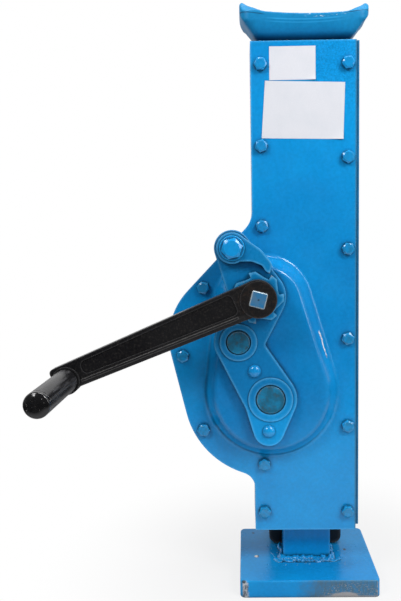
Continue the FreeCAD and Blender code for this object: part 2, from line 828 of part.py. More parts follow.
def bolt_pillars():
    pillars = []
    for i, (x, z) in enumerate(bolt_places()):
        post = rod(f"post{i}", x, z, "pillar_radius", "chamber_front", "-chamber_back")
        hole = rod(f"thread{i}", x, z, "bolt_thread / 2", "chamber_front",
                   "chamber_front + cover_sheet - bolt_reach - 1")
        pillars.append(cut(post, hole, f"pillar{i}"))
    node(group(pillars, "pillars"), "bolt_pillars")


def rack_guides():
    rack_y = f"({RACK_FRONT} + rack_clearance)"
    deep = (f"-({rack_y} + guide_lip)", "chamber_back")
    channel = (f"-{rack_y}", rack_y)
    right = f"({RACK_RIGHT} + rack_clearance)"
    left = f"({RACK_LEFT} - rack_clearance)"
    low = "(wall_bottom + wall_sheet)"
    collar = box("collar", (f"{left} - guide_cheek", f"{right} + guide_cheek"), deep,
                 (low, f"{low} + lower_guide_height"))
    way = box("collar_way", (left, right), channel, (low, f"{low} + lower_guide_height"))
    holes = []
    for i, (x, z) in enumerate(claw_bolt_places()):
        holes.append(rod(f"collar_hole{i}", x, z, "claw_thread / 2 + bolt_play", "0", "-chamber_back"))
    openings = fuse([way, *holes], "collar_openings")
    node(cut(collar, openings, "lower_collar"), "lower_guide")
    high = ("pinion_height - pinion_guide_height / 2", "pinion_height + pinion_guide_height / 2")
    block = box("pinion_block", (f"{RACK_RIGHT} - guide_hold", f"{right} + guide_cheek"), deep, high)
    way = box("pinion_way", (f"{RACK_RIGHT} - guide_hold", right), channel, high)
    node(cut(block, way, "pinion_block_cut"), "pinion_guide")


def front_cover():
    outline = housing_outline("cover_right", "cover_bottom")
    body = plate("front_cover", "chamber_front", COVER_FRONT, (draw_loop, [outline]))
    low_x, low_z = f"({PINION_X} + dome_low_x)", "(pinion_height + dome_low_z)"
    high_x, high_z = f"({CRANK_X} + dome_high_x)", f"({CRANK_Z} - dome_high_z)"

    def ring_at(depth, shrink):
        sketch = new_sketch(body, "XZ_Plane", depth)
        draw_capsule(sketch, (high_x, high_z, f"(dome_high_radius - {shrink})"),
                     (low_x, low_z, f"(dome_low_radius - {shrink})"))
        return sketch

    loft(body, "AdditiveLoft", ring_at(COVER_FRONT, "0"), ring_at(DOME_TOP, "dome_slope"))

    def dome_edge(edge):
        for vertex in edge.Vertexes:
            spot = vertex.Point
            low = math.hypot(spot.x - value(low_x), spot.z - value(low_z)) - value("dome_low_radius")
            high = math.hypot(spot.x - value(high_x), spot.z - value(high_z)) - value("dome_high_radius")
            if min(low, high) > 1:
                return False
        return True

    top = in_plane(Vector(0, -1, 0), DOME_TOP)
    dress(body, "Fillet", top, {"Radius": "dome_round"})
    foot = in_plane(Vector(0, -1, 0), COVER_FRONT)
    dress(body, "Fillet", lambda edge: foot(edge) and dome_edge(edge), {"Radius": "dome_foot_round"})
    wall = "(cover_sheet * 1.2)"
    lean = "(dome_slope * cover_sheet / dome_height)"
    loft(body, "SubtractiveLoft", ring_at("chamber_front", f"({wall} - {lean})"),
         ring_at(f"({DOME_TOP} - cover_sheet)", f"({wall} + dome_slope - {lean})"))
    holes = [(x, z, "bolt_thread / 2 + bolt_play") for x, z in bolt_places()]
    bores(body, COVER_FRONT, "cover_sheet", holes)
    holes = [(x, z, f"({journal} + bush_wall + bolt_play)") for x, z, journal, _, _ in SHAFTS.values()]
    holes += [(x, z, "rivet_radius + seat_play") for x, z in bracket_rivet_places()]
    bores(body, DOME_TOP, "cover_sheet", holes)
    node(body, "front_cover")


def cover_bolts():
    sizes = ("bolt_thread - 0.1", "bolt_hex", "bolt_head", "bolt_reach")
    bolts = []
    for i, (x, z) in enumerate(bolt_places()):
        turn = 37 * i % 60
        bolts.append(hex_bolt(f"cover_bolt{i}", x, z, f"-{COVER_FRONT}", -1, sizes, turn))
    node(group(bolts, "bolts"), "cover_bolts")


def saddle_head():
    foot = f"({HOUSING_TOP} + head_gap)"
    side = f"({HEAD_TIP} - horn_thickness)"
    start = f"({HEAD_SEAT} + horn_rise)"
    dip = f"({HEAD_SEAT} - seat_dip)"
    slope = "((horn_rise + seat_dip) / horn_start)"
    radius = f"(seat_dip / (sqrt(1 + {slope} * {slope}) - 1))"
    right = [
        ("head_foot_half", foot, "head_round"), ("head_half", side, "head_side_round"),
        ("head_half", HEAD_TIP, "horn_round"), ("horn_start", start, "seat_round")]
    left = [(f"-{x}", z, rounding) for x, z, rounding in reversed(right)]
    profile = [*right, ("0", dip, radius), *left]
    body = plate("saddle_head", "-head_back", "head_front", (draw_loop, [profile]))
    sketch = new_sketch(body, "YZ_Plane", "head_half + head_gap")
    above = f"({HEAD_TIP} + head_gap)"
    for face, inward in (("-head_front", "+"), ("head_back", "-")):
        draw_loop(sketch, [(face, start), (face, above), (f"{face} {inward} ({above} - {start})", above)])
    pocket(body, sketch, "2 * (head_half + head_gap)")
    below = f"({foot} - head_gap)"
    under, corners = new_sketch(body, "YZ_Plane", "head_half + head_gap"), new_sketch(body, "XY_Plane", above)
    for face, inward, outward in (("-head_front", "+", "-"), ("head_back", "-", "+")):
        inner, outer = f"({face} {inward} 2 * hull_round)", f"({face} {outward} head_gap)"
        draw_loop(under, [
            (face, start), (face, foot, "hull_round"), (inner, foot), (inner, below), (outer, below),
            (outer, start)])
        for side in ("-", ""):
            end, beyond = f"({side}head_half)", f"({side}(head_half + head_gap))"
            within = f"({side}(head_half - 2 * horn_corner))"
            middle = f"({face} {inward} 2 * horn_corner * 0.9)"
            draw_loop(corners, [
                (end, middle), (end, face, "horn_corner"), (within, face), (within, outer), (beyond, outer),
                (beyond, middle)])
    pocket(body, under, "2 * (head_half + head_gap)")
    pocket(body, corners, f"{above} - {below}")
    sketch = new_sketch(body, "XY_Plane", HOUSING_TOP)
    draw_loop(sketch, rectangle("-head_foot_half + plinth_inset", "head_foot_half - plinth_inset",
                                "-head_front + plinth_inset", "head_back - plinth_inset"))
    pad(body, sketch, "head_gap")
    doc.recompute()
    node(body, "saddle_head")


def lifting_claw():
    body = new_body("lifting_claw")
    back = f"({REAR_FACE} + claw_leg)"
    sketch = new_sketch(body, "YZ_Plane", "-claw_left")
    draw_loop(sketch, [
        (REAR_FACE, "claw_low"), (f"({REAR_FACE} + claw_neck)", "claw_low", "12"),
        ("claw_reach", "claw_seat - claw_tip", "4"), ("claw_reach", "claw_seat", "2"),
        (back, "claw_seat", "6"), (back, "claw_leg_top", "5"), (REAR_FACE, "claw_leg_top")])
    pad(body, sketch, "claw_left + claw_right")
    flat = in_plane(Vector(0, 0, 1), "claw_low")
    along = upright(Vector(0, 1, 0))
    dress(body, "Fillet", lambda edge: flat(edge) and along(edge), {"Radius": "claw_corner"})
    holes = [(x, z, "claw_thread / 2 + bolt_play") for x, z in claw_bolt_places()]
    bores(body, f"-{REAR_FACE}", "claw_leg", holes)
    node(body, "lifting_claw")
    reach = f"({REAR_FACE} + claw_leg - {RACK_FRONT} - 2)"
    sizes = ("claw_thread - 0.1", "claw_hex", "claw_head", reach)
    bolts = []
    for i, (x, z) in enumerate(claw_bolt_places()):
        bolts.append(hex_bolt(f"claw_bolt{i}", x, z, back, 1, sizes, 17 * i))
    node(group(bolts, "claw_bolt_group"), "claw_bolts")


# Bearings


def bracket_rivet_places():
    """The two rivets of the front bracket."""
    return [(MIDDLE_X, MIDDLE_Z), (TAIL_X, TAIL_Z)]


def rear_rivet_places():
    """The two rivets of the rear bearing plate."""
    return [(MIDDLE_X, MIDDLE_Z), (f"(({LAY_X} + {CRANK_X}) / 2)", f"(({LAY_Z} + {CRANK_Z}) / 2)")]


def rivet(name, x, z, front, back, inner_back):
    """A rivet with a round head in front and a flat one behind."""
    crown = f"-({front} + rivet_head)"
    return turned(name, x, z, [
        ("0", crown), ("rivet_head_radius", crown, "rivet_head * 0.8"),
        ("rivet_head_radius", f"-{front}"), ("rivet_radius", f"-{front}"), ("rivet_radius", f"-({back})"),
        ("rivet_head_radius", f"-({back})"), ("rivet_head_radius", f"-({inner_back})"),
        ("0", f"-({inner_back})")])


def bearing_bracket():
    pawl = (PAWL_X, PAWL_Z, "pawl_lobe")
    crank = (CRANK_X, CRANK_Z, "crank_lobe")
    lay = (LAY_X, LAY_Z, "layshaft_lobe")
    pinion = (PINION_X, PINION_Z, "pinion_lobe")
    tail = (TAIL_X, TAIL_Z, "tail_lobe")
    waist = (f"({LAY_X} - layshaft_waist)", LAY_Z, "(layshaft_lobe - layshaft_waist)")
    pairs = ((pawl, crank), (crank, lay), (waist, pinion), (pinion, tail))
    outlines = [(draw_capsule, pair) for pair in pairs]
    body = plate("bearing_bracket", DOME_TOP, BRACKET_FRONT, *outlines)
    corner = hollow_corner(body.Shape, Vector(0, 1, 0))
    dress(body, "Fillet", corner, {"Radius": "bracket_hollow"})
    dress(body, "Fillet", in_plane(Vector(0, -1, 0), BRACKET_FRONT), {"Radius": "1.2"})
    holes = [(x, z, f"({journal} + bush_wall + seat_play)") for x, z, journal, _, _ in SHAFTS.values()]
    holes += [(x, z, "rivet_radius + seat_play") for x, z in bracket_rivet_places()]
    holes.append((PAWL_X, PAWL_Z, "pawl_pin + bolt_play"))
    bores(body, BRACKET_FRONT, "bracket_thickness", holes)
    node(body, "bearing_bracket")
    inner = f"({DOME_TOP} - cover_sheet)"
    rivets = []
    for i, (x, z) in enumerate(bracket_rivet_places()):
        rivets.append(rivet(f"bracket_rivet{i}", x, z, BRACKET_FRONT, inner, f"{inner} - rivet_head"))
    node(group(rivets, "rivets"), "bracket_rivets")
    post = ring("bracket_post", PAWL_X, PAWL_Z, "pawl_pin + bolt_play", "spacer_radius",
                DOME_TOP, COVER_FRONT)
    node(post, "bracket_pillar")


def bushes():
    for name, (x, z, journal, tail, boss) in SHAFTS.items():
        bore, wall = f"({journal} + running_play)", f"({journal} + bush_wall)"
        front = turned(f"{name}_front_bush", x, z, [
            (bore, f"-({BUSH_FRONT} - bush_chamfer)"), (f"({bore} + bush_chamfer)", f"-{BUSH_FRONT}"),
            (boss, f"-{BUSH_FRONT}", "0.8"), (boss, f"-{BRACKET_FRONT}"),
            (wall, f"-{BRACKET_FRONT}"), (wall, f"-{BUSH_BACK}"), (bore, f"-{BUSH_BACK}")])
        node(front, f"{name}_front_bush")
        bore, wall = f"({tail} + running_play)", f"({tail} + bush_wall - seat_play)"
        rear = ring(f"{name}_rear_bush", x, z, bore, wall, "-chamber_back + bush_inside", f"-{REAR_END}")
        node(rear, f"{name}_rear_bush")


def rear_bearing_plate():
    lobes = [(x, z, f"({tail} + rear_lobe)") for x, z, _, tail, _ in SHAFTS.values()]
    outlines = [(draw_capsule, pair) for pair in zip(lobes, lobes[1:])]
    body = plate("rear_bearing_plate", f"-{REAR_END}", f"-{REAR_FACE}", *outlines)
    holes = [(x, z, f"({tail} + bush_wall)") for x, z, _, tail, _ in SHAFTS.values()]
    holes += [(x, z, "rivet_radius + seat_play") for x, z in rear_rivet_places()]
    bores(body, f"-{REAR_FACE}", "rear_plate_thickness", holes)
    node(body, "rear_bearing_plate")
    rivets = []
    for i, (x, z) in enumerate(rear_rivet_places()):
        crown = f"({REAR_END} + rivet_head)"
        piece = turned(f"rear_rivet{i}", x, z, [
            ("0", crown), ("rivet_head_radius", crown, "rivet_head * 0.8"),
            ("rivet_head_radius", REAR_END), ("rivet_radius", REAR_END), ("rivet_radius", "chamber_back"),
            ("0", "chamber_back")])
        rivets.append(piece)
    node(group(rivets, "rear_rivet_group"), "rear_rivets")


# Gear train

CRANK_TOOTH = ("crank_module", "crank_pinion_teeth", "gear_shift * crank_module", "tooth_play")
LAY_GEAR_TOOTH = ("crank_module", "lay_gear_teeth", "-gear_shift * crank_module", "tooth_play")
LAY_PINION_TOOTH = ("main_module", "lay_pinion_teeth", "gear_shift * main_module", "tooth_play")
MAIN_TOOTH = ("main_module", "main_gear_teeth", "-gear_shift * main_module", "tooth_play")


def gear_circles(tooth):
    """Tip and root radius of a gear with full-height teeth."""
    module, count, shift, _ = tooth
    pitch = f"({module} * {count} / 2 + {shift})"
    return f"({pitch} + {module})", f"({pitch} - tooth_foot * {module})"


def crank_shaft():
    collar = f"({BUSH_BACK} - end_play)"
    collar_back = f"({collar} - collar_width)"
    end = f"({REAR_END} + shaft_end)"
    stem = turned("crank_stem", CRANK_X, CRANK_Z, [
        ("0", f"-{RATCHET_BACK}"), ("crank_journal", f"-{RATCHET_BACK}"), ("crank_journal", f"-{collar}"),
        ("crank_journal + collar_rise", f"-{collar}"), ("crank_journal + collar_rise", f"-{collar_back}"),
        ("crank_tail", f"-{collar_back}"), ("crank_tail", f"{end} - shaft_chamfer"),
        ("crank_tail - shaft_chamfer", end), ("0", end)])
    corners = square_corners(CRANK_X, CRANK_Z, "square_side", "square_turn")
    square = plate("crank_square", RATCHET_BACK, f"{ARM_FRONT} + square_end", (draw_loop, [corners]))
    end_edges = in_plane(Vector(0, -1, 0), f"{ARM_FRONT} + square_end")
    dress(square, "Chamfer", end_edges, {"Size": "square_chamfer"})
    half = "(lay_gear_face / 2 + pinion_overlap)"
    pinion = gear("crank_pinion", (CRANK_X, CRANK_Z), CRANK_TOOTH, gear_circles(CRANK_TOOTH),
                  "crank_angle + 180", (half, f"-{half}"))
    node(fuse([stem, square, pinion], "crank_shaft_solid"), "crank_shaft")


def square_corners(x, z, side, turn):
    """The corners of the crank's square about an axis."""
    radius = f"({side}) / sqrt(2)"
    return [(*polar(x, z, radius, f"({turn} + {90 * k})"), "square_round") for k in range(4)]


def layshaft():
    collar = f"({BUSH_BACK} - end_play)"
    collar_back = f"({collar} - collar_width)"
    pinion_front, pinion_back = f"({MAIN_FRONT} + pinion_overlap)", f"({MAIN_BACK} - pinion_overlap)"
    seat = "(lay_gear_face / 2)"
    shoulder = "(layshaft_seat + collar_rise)"
    end = f"({REAR_END} + shaft_end)"
    stem = turned("layshaft_stem", LAY_X, LAY_Z, [
        ("0", f"-{SHAFT_FRONT}"), ("layshaft_journal - shaft_chamfer", f"-{SHAFT_FRONT}"),
        ("layshaft_journal", f"-({SHAFT_FRONT} - shaft_chamfer)"), ("layshaft_journal", f"-{collar}"),
        ("layshaft_journal + collar_rise", f"-{collar}"),
        ("layshaft_journal + collar_rise", f"-{collar_back}"),
        ("layshaft_tail", f"-{collar_back}"), ("layshaft_tail", f"-{pinion_back}"),
        (shoulder, f"-{pinion_back}"), (shoulder, f"-{seat}"),
        ("layshaft_seat", f"-{seat}"), ("layshaft_seat", seat),
        ("layshaft_tail", seat), ("layshaft_tail", f"{end} - shaft_chamfer"),
        ("layshaft_tail - shaft_chamfer", end), ("0", end)])
    pinion = gear("layshaft_pinion", (LAY_X, LAY_Z), LAY_PINION_TOOTH, gear_circles(LAY_PINION_TOOTH),
                  "layshaft_angle + 180", (pinion_front, pinion_back))
    node(fuse([stem, pinion], "layshaft_solid"), "layshaft")
    blank = gear("layshaft_blank", (LAY_X, LAY_Z), LAY_GEAR_TOOTH, gear_circles(LAY_GEAR_TOOTH),
                 "crank_angle + 180 / lay_gear_teeth", (seat, f"-{seat}"))
    bore = rod("layshaft_bore", LAY_X, LAY_Z, "layshaft_seat + seat_play", seat, f"-{seat}")
    node(cut(blank, bore, "layshaft_gear_cut"), "layshaft_gear")


def pinion_shaft():
    seat_front = f"({BUSH_BACK} - end_play)"
    end = f"({REAR_END} + shaft_end)"
    stem = turned("pinion_stem", PINION_X, PINION_Z, [
        ("0", f"-{SHAFT_FRONT}"), ("pinion_journal - shaft_chamfer", f"-{SHAFT_FRONT}"),
        ("pinion_journal", f"-({SHAFT_FRONT} - shaft_chamfer)"), ("pinion_journal", f"-{seat_front}"),
        ("pinion_seat", f"-{seat_front}"), ("pinion_seat", f"-{RACK_FRONT}"),
        ("pinion_tail", f"-{RACK_FRONT}"), ("pinion_tail", f"{end} - shaft_chamfer"),
        ("pinion_tail - shaft_chamfer", end), ("0", end)])
    tooth = ("rack_module", "pinion_teeth", "pinion_shift", "0")
    line = "(rack_module * pinion_teeth / 2 + pinion_shift)"
    circles = (f"({line} + pinion_addendum)", f"({line} - rack_dedendum)")
    teeth = gear("rack_pinion", (PINION_X, PINION_Z), tooth, circles, "0", (RACK_FRONT, f"-{RACK_FRONT}"))
    node(fuse([stem, teeth], "pinion_solid"), "pinion_shaft")
    blank = gear("main_blank", (PINION_X, PINION_Z), MAIN_TOOTH, gear_circles(MAIN_TOOTH),
                 "layshaft_angle + 180 / main_gear_teeth", (MAIN_FRONT, MAIN_BACK))
    hub_back = f"({RACK_FRONT} + end_play)"
    hub = rod("main_hub_rod", PINION_X, PINION_Z, "main_hub", seat_front, hub_back)
    bore = rod("main_bore", PINION_X, PINION_Z, "pinion_seat + seat_play", seat_front, hub_back)
    node(cut(fuse([blank, hub], "main_wheel"), bore, "main_gear_cut"), "main_gear")


# Ratchet, pawl and crank


def ratchet_wheel():
    corners = []
    for k in range(int(SIZES["ratchet_teeth"])):
        lead = f"(ratchet_turn + {k} * 360 / ratchet_teeth)"
        corners.append(polar(CRANK_X, CRANK_Z, "ratchet_root", lead))
        corners.append(polar(CRANK_X, CRANK_Z, "ratchet_root", f"({lead} + 360 / ratchet_teeth / 4)"))
        after = f"({lead} + 360 / ratchet_teeth)"
        corners.append(polar(CRANK_X, CRANK_Z, "ratchet_tip", f"({after} - ratchet_land)"))
        corners.append(polar(CRANK_X, CRANK_Z, "ratchet_tip", after))
    body = plate("ratchet_wheel", RATCHET_BACK, RATCHET_FRONT, (draw_loop, [corners]))
    sketch = new_sketch(body, "XZ_Plane", RATCHET_FRONT)
    draw_loop(sketch, square_corners(CRANK_X, CRANK_Z, "square_side + 2 * square_play", "square_turn"))
    pocket(body, sketch, "ratchet_face")
    node(body, "ratchet_wheel")


PAWL_DISTANCE = "sqrt(pawl_left * pawl_left + pawl_up * pawl_up)"
RATCHET_CLEAR = "(ratchet_tip + pawl_gap)"
PAWL_TURN = (f"((acos(({PAWL_DISTANCE} * {PAWL_DISTANCE} + pawl_reach * pawl_reach"
             f" - {RATCHET_CLEAR} * {RATCHET_CLEAR}) / (2 * {PAWL_DISTANCE} * pawl_reach))"
             f" - acos(pawl_left / {PAWL_DISTANCE})) / 1deg)")


def pawl():
    def spot(along, across, *radius):
        x = f"({PAWL_X} + ({along}) * cos({PAWL_TURN}) - ({across}) * sin({PAWL_TURN}))"
        z = f"({PAWL_Z} + ({along}) * sin({PAWL_TURN}) + ({across}) * cos({PAWL_TURN}))"
        return (x, z, *radius)

    arm = [
        spot("0", "0"), spot("0", "pawl_eye * 0.98"), spot("pawl_reach * 0.55", "pawl_arch", "18"),
        spot("pawl_reach * 0.94", "pawl_nose", "7"), spot("pawl_reach", "0", "0.8"),
        spot("pawl_reach * 0.88", "0", "2"), spot("pawl_reach * 0.76", "3", "6"),
        spot("pawl_reach * 0.52", "0", "12"), spot("pawl_eye * 0.5", "-pawl_eye * 0.7")]
    outlines = [(draw_circle, (PAWL_X, PAWL_Z, "pawl_eye")), (draw_loop, [arm])]
    body = plate("pawl", PAWL_BACK, PAWL_FRONT, *outlines)
    dress(body, "Fillet", in_plane(Vector(0, -1, 0), PAWL_FRONT), {"Radius": "1"})
    bores(body, PAWL_FRONT, "pawl_thickness", [(PAWL_X, PAWL_Z, "pawl_pin + running_play")])
    node(body, "pawl")
    washer = ring("pawl_ring", PAWL_X, PAWL_Z, "pawl_pin + seat_play", "washer_radius",
                  WASHER_FRONT, WASHER_BACK)
    node(washer, "pawl_washer")
    reach = f"({WASHER_FRONT} - {COVER_FRONT} - 1)"
    bolt = hex_bolt("pawl_screw", PAWL_X, PAWL_Z, f"-{WASHER_FRONT}", -1,
                    ("2 * pawl_pin", "pawl_hex", "pawl_head", reach), 12)
    node(bolt, "pawl_bolt")


def crank_arm():
    """Drawn along its own X from the crank axis, with +Z on its lower side, and turned to its place."""
    body = new_body("crank_arm")
    hub_end, far_end = "(-arm_wide)", "(crank_radius + arm_end)"
    hub_round = "(arm_wide - arm_edge / 4)"
    sketch = new_sketch(body, "XZ_Plane", ARM_BACK)
    draw_loop(sketch, [
        (hub_end, "-arm_rise - arm_wide", hub_round), (far_end, "-arm_rise - arm_narrow", "arm_corner"),
        (far_end, "-arm_rise + arm_narrow", "arm_corner"), (hub_end, "-arm_rise + arm_wide", hub_round)])
    pad(body, sketch, "arm_thickness")
    doc.recompute()

    def bevel_end(along, half_width):
        edge = f"({half_width} - arm_rise)"
        slanted = f"-{ARM_FRONT} + arm_bevel_depth * (arm_bevel + arm_edge) / arm_bevel"
        profile = new_sketch(body, "YZ_Plane", along)
        draw_loop(profile, [
            (f"-{ARM_FRONT}", f"{edge} - arm_bevel"), (slanted, f"{edge} + arm_edge"),
            (f"-{ARM_FRONT}", f"{edge} + arm_edge")])
        return profile

    loft(body, "SubtractiveLoft", bevel_end(hub_end, "arm_wide"), bevel_end(far_end, "arm_narrow"))
    for x, radius, back, front_face in (
            ("0", "hub_radius", RATCHET_FRONT, f"{ARM_FRONT} + hub_proud"),
            ("crank_radius", "grip_boss", ARM_BACK, f"{ARM_FRONT} + grip_boss_height")):
        sketch = new_sketch(body, "XZ_Plane", back)
        draw_circle(sketch, x, "0", radius)
        pad(body, sketch, f"{front_face} - {back}")
        doc.recompute()
    sketch = new_sketch(body, "XZ_Plane", f"{ARM_FRONT} + hub_proud")
    draw_loop(sketch, square_corners("0", "0", "square_side + 2 * square_play", "(square_turn - arm_turn)"))
    pocket(body, sketch, "arm_thickness + hub_step + hub_proud")
    bores(body, f"{ARM_FRONT} + grip_boss_height", "arm_thickness + grip_boss_height",
          [("crank_radius", "0", "grip_pin + seat_play")])
    body.Placement = Placement(Vector(), Rotation(Vector(0, -1, 0), SIZES["arm_turn"]))
    bind(body, {"Placement.Base.x": CRANK_X, "Placement.Base.z": CRANK_Z,
                "Placement.Rotation.Angle": "arm_turn * 1deg"})
    node(body, "crank_arm")


def grip():
    bore = "(grip_pin + running_play)"
    mouth = f"({GRIP_FRONT} - grip_cap)"
    sleeve = turned("grip_sleeve", GRIP_X, GRIP_Z, [
        (bore, f"-{mouth}"), ("grip_radius", f"-{mouth}", "0.8"),
        ("grip_radius", f"-{GRIP_BACK}", "1.5"), (bore, f"-{GRIP_BACK}")])
    node(sleeve, "grip_sleeve")
    cap = f"({mouth} + pawl_gap)"
    foot = f"({ARM_BACK} - 2)"
    pin = turned("grip_pin_body", GRIP_X, GRIP_Z, [
        ("0", f"-{GRIP_FRONT}"),
        ("grip_radius * 0.6", f"-({GRIP_FRONT} - grip_round * 0.25)", "grip_round * 3"),
        ("grip_radius", f"-({GRIP_FRONT} - grip_round)", "grip_round * 0.8"),
        ("grip_radius", f"-{cap}", "0.8"),
        ("grip_pin", f"-{cap}"), ("grip_pin", f"-{ARM_BACK}"),
        ("grip_pin_head", f"-{ARM_BACK}"), ("grip_pin_head", f"-{foot}", "1"), ("0", f"-{foot}")])
    node(pin, "grip_pin")


def check():
    """Stops if any object failed or any sub-part has no sound shape."""
    doc.recompute()
    for item in doc.Objects:
        if "Invalid" in item.State or "Error" in item.State:
            raise RuntimeError(f"{item.Label} failed: {item.State}")
    for item in NODES:
        if item.Shape.isNull() or not item.Shape.isValid() or not item.Shape.Solids:
            raise RuntimeError(f"{item.Label} has no sound shape")


def write():
    """Writes each sub-part under its name."""
    os.makedirs("parts", exist_ok=True)
    for item in NODES:
        solids = item.Shape.Solids
        shape = solids[0] if len(solids) == 1 else Part.makeCompound(solids)
        shape.exportStep(os.path.join("parts", item.Label + ".step"))


for make in (base_plate, rack_bar, rack_weld, rear_plate, housing_walls, bolt_pillars, rack_guides,
             front_cover, cover_bolts, saddle_head, lifting_claw, bearing_bracket, bushes,
             rear_bearing_plate, crank_shaft, layshaft, pinion_shaft, ratchet_wheel, pawl, crank_arm, grip):
    make()
check()
write()
print(len(NODES), "sub-parts,", round(sum(item.Shape.Volume for item in NODES)), "cubic millimetres")
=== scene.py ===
"""Looks of a rack and pinion jack: worn paint, eased edges, weld, labels and a plain studio."""

import math
import random

import bpy
from bpy.props import FloatProperty, FloatVectorProperty, IntProperty, PointerProperty
from mathutils import Matrix, Vector


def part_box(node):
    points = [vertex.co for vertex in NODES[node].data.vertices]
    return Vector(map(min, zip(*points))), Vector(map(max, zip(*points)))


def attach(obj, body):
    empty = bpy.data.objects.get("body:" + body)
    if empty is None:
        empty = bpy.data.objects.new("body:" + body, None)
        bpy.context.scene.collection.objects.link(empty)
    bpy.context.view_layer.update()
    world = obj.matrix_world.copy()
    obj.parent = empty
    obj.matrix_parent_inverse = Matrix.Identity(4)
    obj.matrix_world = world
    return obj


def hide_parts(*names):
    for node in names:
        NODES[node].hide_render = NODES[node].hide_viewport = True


bl_info = {
    "name": "Rack and Pinion Jack",
    "version": (1, 0, 0),
    "blender": (4, 5, 0),
    "location": "View3D > Sidebar > Jack",
    "description": "Paint, metal, weld, labels and studio of a rack and pinion jack",
    "category": "Object",
}

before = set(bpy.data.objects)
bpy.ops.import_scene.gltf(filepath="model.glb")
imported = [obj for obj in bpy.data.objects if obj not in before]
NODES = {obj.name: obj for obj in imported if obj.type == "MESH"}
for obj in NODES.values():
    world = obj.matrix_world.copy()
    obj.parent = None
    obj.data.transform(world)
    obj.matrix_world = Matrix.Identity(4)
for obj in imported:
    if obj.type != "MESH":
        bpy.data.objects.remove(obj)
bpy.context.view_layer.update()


# Sizes and colours


# What rubbing and a painted edge highlight add to the colour of blue and of black paint.
BLUE_RUB_AND_HIGHLIGHT = (0.06, 0.14, 0.16, 1)
BLACK_RUB_AND_HIGHLIGHT = (0.05, 0.05, 0.052, 1)

# The crank's axis, its arm's turn about y in degrees, the arm's half width at the axis and how much that
# falls for each length along the arm, and how far in from the arm's lower edge the rib's two sides lie.
CRANK_X, CRANK_Z = -0.06142, 0.37855
ARM_TURN = -202.2
ARM_HALF, ARM_TAPER = 0.01712, 0.01867
RIB_SIDES = (0.0077, 0.0046)

# The radii of the turned end faces of two shafts.
END_RADII = {"layshaft": 0.0139, "pinion": 0.0171}


class JackFinish(bpy.types.PropertyGroup):
    """Colours of the jack's surfaces and how worn they are."""

    blue: FloatVectorProperty(
        name="Blue", description="Enamel of the housing, foot and saddle", subtype="COLOR",
        size=4, min=0, max=1, default=(0.004, 0.300, 0.690, 1))
    deep_blue: FloatVectorProperty(
        name="Deep blue", description="Enamel where it lies thicker", subtype="COLOR",
        size=4, min=0, max=1, default=(0.004, 0.232, 0.570, 1))
    black: FloatVectorProperty(
        name="Black", description="Paint of the crank and claw", subtype="COLOR",
        size=4, min=0, max=1, default=(0.011, 0.011, 0.012, 1))
    bare_steel: FloatVectorProperty(
        name="Bare steel", description="Steel where paint has gone", subtype="COLOR",
        size=4, min=0, max=1, default=(0.42, 0.41, 0.40, 1))
    rust: FloatVectorProperty(
        name="Rust", description="Thin rust on bare steel", subtype="COLOR",
        size=4, min=0, max=1, default=(0.150, 0.105, 0.075, 1))
    # Grime and painted shade: the colour that corners and contact lines darken the paint towards.
    grime: FloatVectorProperty(
        name="Grime", description="Share of the paint's colour that settled dirt leaves", subtype="COLOR",
        size=4, min=0, max=1, default=(0.10, 0.10, 0.085, 1))
    paper: FloatVectorProperty(
        name="Paper", description="Blank labels", subtype="COLOR",
        size=4, min=0, max=1, default=(0.62, 0.63, 0.68, 1))
    edge_wear: FloatProperty(
        name="Edge wear", description="How far paint has gone from the edges", subtype="FACTOR",
        min=0, max=1, default=0.35)


class JackForms(bpy.types.PropertyGroup):
    """How edges are eased, and how the crank arm, the saddle and the bolt heads are shaped."""

    sheet_edge: FloatProperty(
        name="Sheet edge", description="Rounding of cut sheet edges", subtype="DISTANCE", unit="LENGTH",
        min=0, default=0.0006)
    plate_edge: FloatProperty(
        name="Plate edge", description="Rounding of thick plate edges", subtype="DISTANCE", unit="LENGTH",
        min=0, default=0.0009)
    forged_edge: FloatProperty(
        name="Forged edge", description="Rounding of the claw's edges", subtype="DISTANCE", unit="LENGTH",
        min=0, default=0.0014)
    arm_edge: FloatProperty(
        name="Arm edge", description="Rounding of the crank arm's edges", subtype="DISTANCE", unit="LENGTH",
        min=0, default=0.0007)
    arm_rib: FloatProperty(
        name="Arm rib", description="Height of the rib along the crank arm's lower edge", subtype="DISTANCE",
        unit="LENGTH", min=0.0002, default=0.0007)
    left_horn: FloatProperty(
        name="Left horn", description="How far the saddle's left tip is lifted", subtype="DISTANCE",
        unit="LENGTH", min=0, default=0.0054)
    right_horn: FloatProperty(
        name="Right horn", description="How far the saddle's right tip is lifted", subtype="DISTANCE",
        unit="LENGTH", min=0, default=0.0018)
    seat_lip: FloatProperty(
        name="Seat lip", description="Rise of the saddle's front and back edge between its horns",
        subtype="DISTANCE", unit="LENGTH", min=0, default=0.0036)
    horn_drop: FloatProperty(
        name="Horn drop", description="Fall of the horns' front and back edge", subtype="DISTANCE",
        unit="LENGTH", min=0, default=0.0060)
    hull_rounds: IntProperty(
        name="Hull rounds", description="How often the saddle's underside is smoothed", min=0, default=120)
    bolt_edge: FloatProperty(
        name="Bolt edge", description="Rounding of bolt heads", subtype="DISTANCE", unit="LENGTH",
        min=0, default=0.0004)
    bolt_face: FloatProperty(
        name="Bolt face", description="Share of a bolt head's corner radius that stays flat in front",
        subtype="FACTOR", min=0.3, max=0.85, default=0.69)


class JackWeld(bpy.types.PropertyGroup):
    """The weld around the rack's foot."""

    ripple: FloatProperty(
        name="Ripple", description="Length of one ripple along the weld", subtype="DISTANCE",
        unit="LENGTH", min=0.001, default=0.0042)
    spatter: IntProperty(
        name="Spatter", description="Drops that stick to the foot plate", min=1, default=46)
    seed: IntProperty(name="Seed", description="Which of the uneven welds this is", min=0, default=5)


